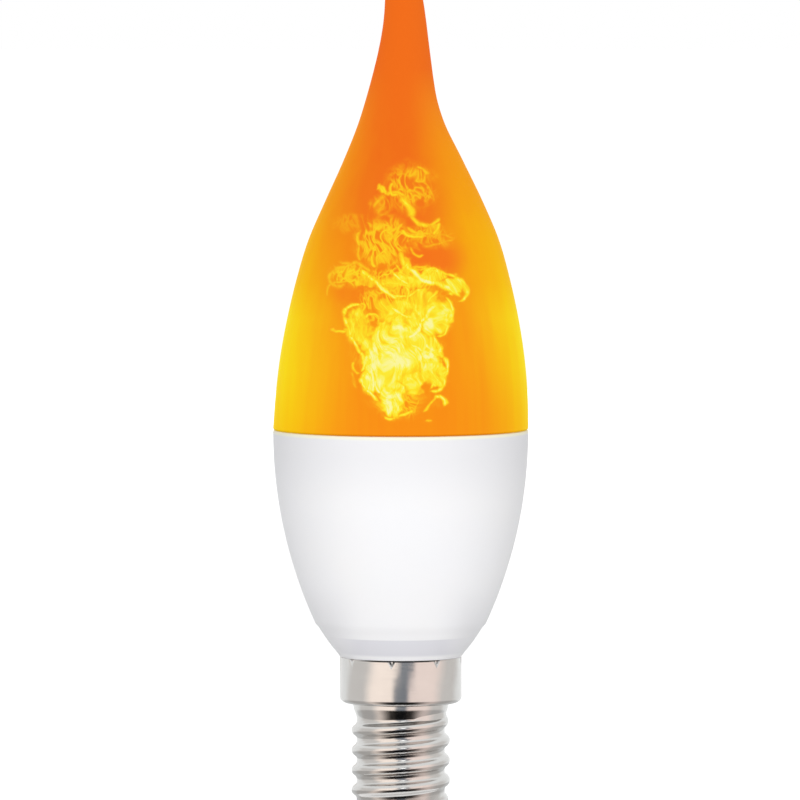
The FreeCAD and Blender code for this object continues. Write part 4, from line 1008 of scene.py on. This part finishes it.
def plain_material(name, first, second, roughness, scale, bump=0.01, metal=0.0):
    """Two close tones in a noise, with a spread of roughness and a light relief."""
    material, graph, shader = new_material(name)
    value = graph.noise(place_mm(graph), scale, 3.0).outputs[0]
    spread = graph.range(value, 0.35, 0.65)
    graph.put(shader.inputs["Base Color"], graph.mix(spread, tone(*first), tone(*second)))
    rough = graph.range(value, 0.3, 0.7, roughness * 0.85, roughness * 1.15)
    graph.put(shader.inputs["Roughness"], rough)
    shader.inputs["Metallic"].default_value = metal
    graph.put(shader.inputs["Normal"], graph.bump(value, bump))
    return material


def board_material(name, mask, track, along):
    """Solder mask over tracks: thin paler bands in one direction."""
    material, graph, shader = new_material(name)
    place = place_mm(graph)
    wave = graph.node("ShaderNodeTexWave", bands_direction=along, wave_profile="SAW")
    graph.put(wave.inputs["Vector"], place)
    wave.inputs["Scale"].default_value = 0.16
    wave.inputs["Distortion"].default_value = 0.6
    tracks = graph.range(wave.outputs["Fac"], 0.62, 0.66)
    grain = graph.noise(place, 3.0, 2.0).outputs[0]
    color = graph.mix(tracks, mask, track)
    color = graph.mix(graph.times(grain, 0.12), color, (0.02, 0.03, 0.02, 1.0))
    graph.put(shader.inputs["Base Color"], color)
    graph.put(shader.inputs["Roughness"], graph.range(grain, 0.3, 0.7, 0.3, 0.42))
    graph.put(shader.inputs["Normal"], graph.bump(tracks, 0.02))
    return material


def winding_material():
    """Turns of enamelled copper wire."""
    material, graph, shader = new_material("copper_winding")
    place = place_mm(graph)
    wave = graph.node("ShaderNodeTexWave", bands_direction="Y", wave_profile="SIN")
    graph.put(wave.inputs["Vector"], place)
    wave.inputs["Scale"].default_value = 1.3
    turns = wave.outputs["Fac"]
    color = graph.mix(turns, tone(120, 52, 20), tone(214, 122, 62))
    graph.put(shader.inputs["Base Color"], color)
    shader.inputs["Metallic"].default_value = 0.8
    shader.inputs["Roughness"].default_value = 0.32
    graph.put(shader.inputs["Normal"], graph.bump(turns, 0.08))
    return material


# Pieces that replace a solid
diffuser = make_diffuser()
diffuser.data.materials.append(diffuser_material())
housing = make_housing()
housing.data.materials.append(housing_material())
shell = make_screw_shell()
nickel = nickel_material("nickel_plate", tone(214, 213, 211), tone(203, 201, 199))
shell.data.materials.append(nickel)
for piece, node, slot in (
    (diffuser, "diffuser", "diffuser"),
    (housing, "housing", "housing"),
    (shell, "screw_shell", "nickel_shell"),
):
    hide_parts(node)
    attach(piece, "root")

# Solids that stay get a finish
white_mask = board_material("white_mask", tone(236, 236, 230), tone(222, 222, 214), "Z")
led = plain_material("phosphor", (236, 196, 72), (246, 236, 190), 0.4, 0.9)
chip = plain_material("moulded_black", (30, 30, 31), (40, 40, 42), 0.55, 3.0)
red_wire = plain_material("red_lead", (186, 34, 26), (200, 44, 34), 0.42, 1.5)
black_wire = plain_material("black_lead", (28, 28, 29), (38, 38, 40), 0.42, 1.5)
finishes = {
    "insulator": plain_material("black_insulator", (22, 22, 24), (32, 32, 34), 0.2, 0.8, 0.006),
    "contact_eyelet": nickel_material(
        "contact_plate", tone(212, 210, 206), tone(196, 194, 190)
    ),
    "contact_nail": plain_material(
        "brass_nail", (206, 178, 112), (190, 160, 96), 0.26, 1.4, 0.004, 1.0
    ),
    "flame_core": plain_material("white_core", (232, 231, 226), (224, 223, 218), 0.5, 1.2),
    "flex_board": white_mask,
    "top_board": white_mask,
    "driver_board": board_material("green_mask", tone(34, 96, 52), tone(48, 122, 66), "X"),
    "capacitor": plain_material("capacitor_sleeve", (26, 26, 30), (36, 36, 42), 0.35, 1.0),
    "choke_core": plain_material("ferrite", (52, 52, 55), (66, 66, 69), 0.7, 4.0, 0.02),
    "choke_winding": winding_material(),
    "fusible_resistor": plain_material(
        "resistor_coat", (96, 128, 108), (112, 140, 120), 0.5, 2.0
    ),
    "bridge_rectifier": chip,
    "driver_chip": chip,
    "flame_chip": chip,
    "live_lead": red_wire,
    "return_lead": black_wire,
    "supply_lead_positive": red_wire,
    "supply_lead_negative": black_wire,
    "top_leds": led,
}
for number in range(1, 6):
    finishes[f"led_row_{number}"] = led
for name, material in finishes.items():
    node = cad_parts[name]
    node.data.materials.clear()
    node.data.materials.append(material)


# Stage: floor, cards that the metal mirrors, lamps, world and camera


def light_path(graph):
    """1 for what the camera, a gloss or a clear body looks at directly."""
    path = graph.node("ShaderNodeLightPath").outputs
    seen = graph.most(path["Is Camera Ray"], path["Is Glossy Ray"])
    return graph.most(seen, path["Is Transmission Ray"])


def bare_material(name):
    """A material with an empty node tree."""
    material = bpy.data.materials.new(name)
    material.use_nodes = True
    material.node_tree.nodes.clear()
    return material, Graph(material.node_tree)


def add_floor():
    """A square floor, its half side in metres: white where it is looked at, with its shadow."""
    mesh = bpy.data.meshes.new("floor")
    far = 8.0
    corners = [(-far, -far, 0), (far, -far, 0), (far, far, 0), (-far, far, 0)]
    mesh.from_pydata(corners, [], [(0, 1, 2, 3)])
    floor = bpy.data.objects.new("floor", mesh)
    bpy.context.scene.collection.objects.link(floor)
    material, graph = bare_material("floor")
    plain = graph.node("ShaderNodeBsdfDiffuse")
    plain.inputs["Color"].default_value = (0.95, 0.95, 0.95, 1)
    shown = graph.node("ShaderNodeBsdfDiffuse")
    shown.inputs["Color"].default_value = (0.42, 0.42, 0.42, 1)
    bright = graph.node("ShaderNodeEmission")
    bright.inputs["Strength"].default_value = 0.82
    both = graph.node("ShaderNodeAddShader")
    graph.put(both.inputs[0], shown.outputs[0])
    graph.put(both.inputs[1], bright.outputs[0])
    choice = graph.node("ShaderNodeMixShader")
    graph.put(choice.inputs[0], light_path(graph))
    graph.put(choice.inputs[1], plain.outputs[0])
    graph.put(choice.inputs[2], both.outputs[0])
    out = graph.node("ShaderNodeOutputMaterial")
    graph.put(out.inputs["Surface"], choice.outputs[0])
    mesh.materials.append(material)


def add_surround():
    """What only shiny surfaces see: a mat round the bulb and a screen farther out."""
    profile = [(radius, 0.15) for radius in (11, 30, 52, 80, 112)]
    profile += [(125, 15), (128, 70), (131, 190)]
    screen = skin("surround", [ring(radius, height, 96) for radius, height in profile])
    material, graph = bare_material("surround")
    x, y, z = graph.split(place_mm(graph))
    radius = graph.vector("LENGTH", graph.combine(x, y, 0.0)).outputs["Value"]
    # Azimuth in degrees, 0 in front, counted to the right, turned a little with the height
    azimuth = graph.math("ARCTAN2", x, graph.times(y, -1.0))
    azimuth = graph.times(azimuth, 180 / math.pi)
    lean = graph.range(z, 7.0, 15.0, 0.0, 13.0)
    lean = graph.minus(lean, graph.range(z, 18.0, 40.0, 0.0, 9.0))
    around = graph.math("WRAP", graph.minus(azimuth, lean), 180.0, -180.0)
    share = graph.range(around, -180.0, 180.0, kind="LINEAR")

    def at(angle):
        return (angle + 180) / 360

    grey = (0.56, 0.545, 0.53, 1.0)
    pale = (0.7, 0.71, 0.71, 1.0)
    dark = (0.178, 0.195, 0.22, 1.0)
    left = (0.97, 0.85, 0.77, 1.0)
    right = (0.84, 0.71, 0.66, 1.0)
    stops = [
        (at(-180), grey),
        (at(-174), grey),
        (at(-168), pale),
        (at(-126), pale),
        (at(-112), grey),
        (at(-74), grey),
        (at(-56), left),
        (at(-17), left),
        (at(-10), dark),
        (at(10), dark),
        (at(17), right),
        (at(62), right),
        (at(84), grey),
        (at(112), grey),
        (at(128), pale),
        (at(168), pale),
        (at(174), grey),
    ]
    color = graph.mix(graph.range(z, 62.0, 88.0), graph.ramp(share, stops), pale)
    # Dark near the bulb in front and in a narrow strip behind, paler at the sides
    away = graph.math("ABSOLUTE", azimuth)
    near = graph.range(away, 22.0, 62.0, 0.02, 0.66)
    near = graph.math("MINIMUM", near, graph.range(away, 156.0, 172.0, 0.68, 0.1))
    far = graph.range(radius, 46.0, 70.0)
    level = graph.plus(near, graph.times(far, graph.minus(1.0, near)))
    # A narrow bright lamp in front, which the crests show as glints
    lamp = graph.times(graph.range(z, 26.0, 32.0), graph.range(z, 52.0, 60.0, 1.0, 0.0))
    narrow = graph.range(graph.math("ABSOLUTE", around), 4.0, 8.0, 1.0, 0.0)
    lamp = graph.times(lamp, narrow)
    color = graph.mix(lamp, color, (1.6, 1.6, 1.6, 1.0))
    glow = graph.node("ShaderNodeEmission")
    graph.put(glow.inputs["Color"], color)
    graph.put(glow.inputs["Strength"], graph.times(level, 1.45))
    out = graph.node("ShaderNodeOutputMaterial")
    graph.put(out.inputs["Surface"], glow.outputs[0])
    screen.data.materials.append(material)
    screen.visible_camera = False
    screen.visible_diffuse = False
    screen.visible_transmission = False
    screen.visible_shadow = False


def add_lamp(name, place, target, size, power):
    """A soft box with its place, target and size in metres and its power in watts."""
    data = bpy.data.lights.new(name, "AREA")
    data.shape = "RECTANGLE"
    data.size, data.size_y = size
    data.energy = power
    lamp = bpy.data.objects.new(name, data)
    bpy.context.scene.collection.objects.link(lamp)
    lamp.location = Vector(place)
    lamp.rotation_mode = "QUATERNION"
    lamp.rotation_quaternion = (Vector(target) - Vector(place)).to_track_quat("-Z", "Y")
    lamp.visible_camera = False
    lamp.visible_glossy = False


add_floor()
add_surround()
add_lamp("front_softbox", (0.0, -1.1, 0.35), (0, 0, 0.05), (0.7, 0.7), 2.2)
add_lamp("low_softbox", (0.0, -1.1, 0.07), (0, 0, 0.04), (0.7, 0.13), 3.7)
add_lamp("back_softbox", (0.0, 1.1, 0.3), (0, 0, 0.05), (0.7, 0.6), 3.0)

world = bpy.data.worlds.new("studio")
bpy.context.scene.world = world
world.use_nodes = True
world.node_tree.nodes.clear()
sky = Graph(world.node_tree)
soft = sky.node("ShaderNodeBackground")
soft.inputs["Color"].default_value = (0.985, 0.985, 1.0, 1)
soft.inputs["Strength"].default_value = 0.565
white = sky.node("ShaderNodeBackground")
white.inputs["Color"].default_value = (1, 1, 1, 1)
white.inputs["Strength"].default_value = 1.0
either = sky.node("ShaderNodeMixShader")
sky.put(either.inputs[0], light_path(sky))
sky.put(either.inputs[1], soft.outputs[0])
sky.put(either.inputs[2], white.outputs[0])
world_out = sky.node("ShaderNodeOutputWorld")
sky.put(world_out.inputs["Surface"], either.outputs[0])

camera_data = bpy.data.cameras.new("camera")
camera = bpy.data.objects.new("camera", camera_data)
bpy.context.scene.collection.objects.link(camera)
bpy.context.scene.camera = camera
DISTANCE = 1200.0
FRAME_WIDTH = 112.8
SENSOR = 36.0
ELEVATION = math.radians(3.15)
camera_data.sensor_width = SENSOR
camera_data.lens = SENSOR * DISTANCE / FRAME_WIDTH
camera_data.clip_start = 0.05
camera_data.clip_end = 40.0
aim = Vector((-0.1, 0.0, 61.2)) * MM
back = Vector((0.0, -math.cos(ELEVATION), math.sin(ELEVATION)))
camera.location = aim + back * DISTANCE * MM
camera.rotation_mode = "QUATERNION"
camera.rotation_quaternion = (-back).to_track_quat("-Z", "Y")

bpy.context.scene.view_settings.view_transform = "Standard"
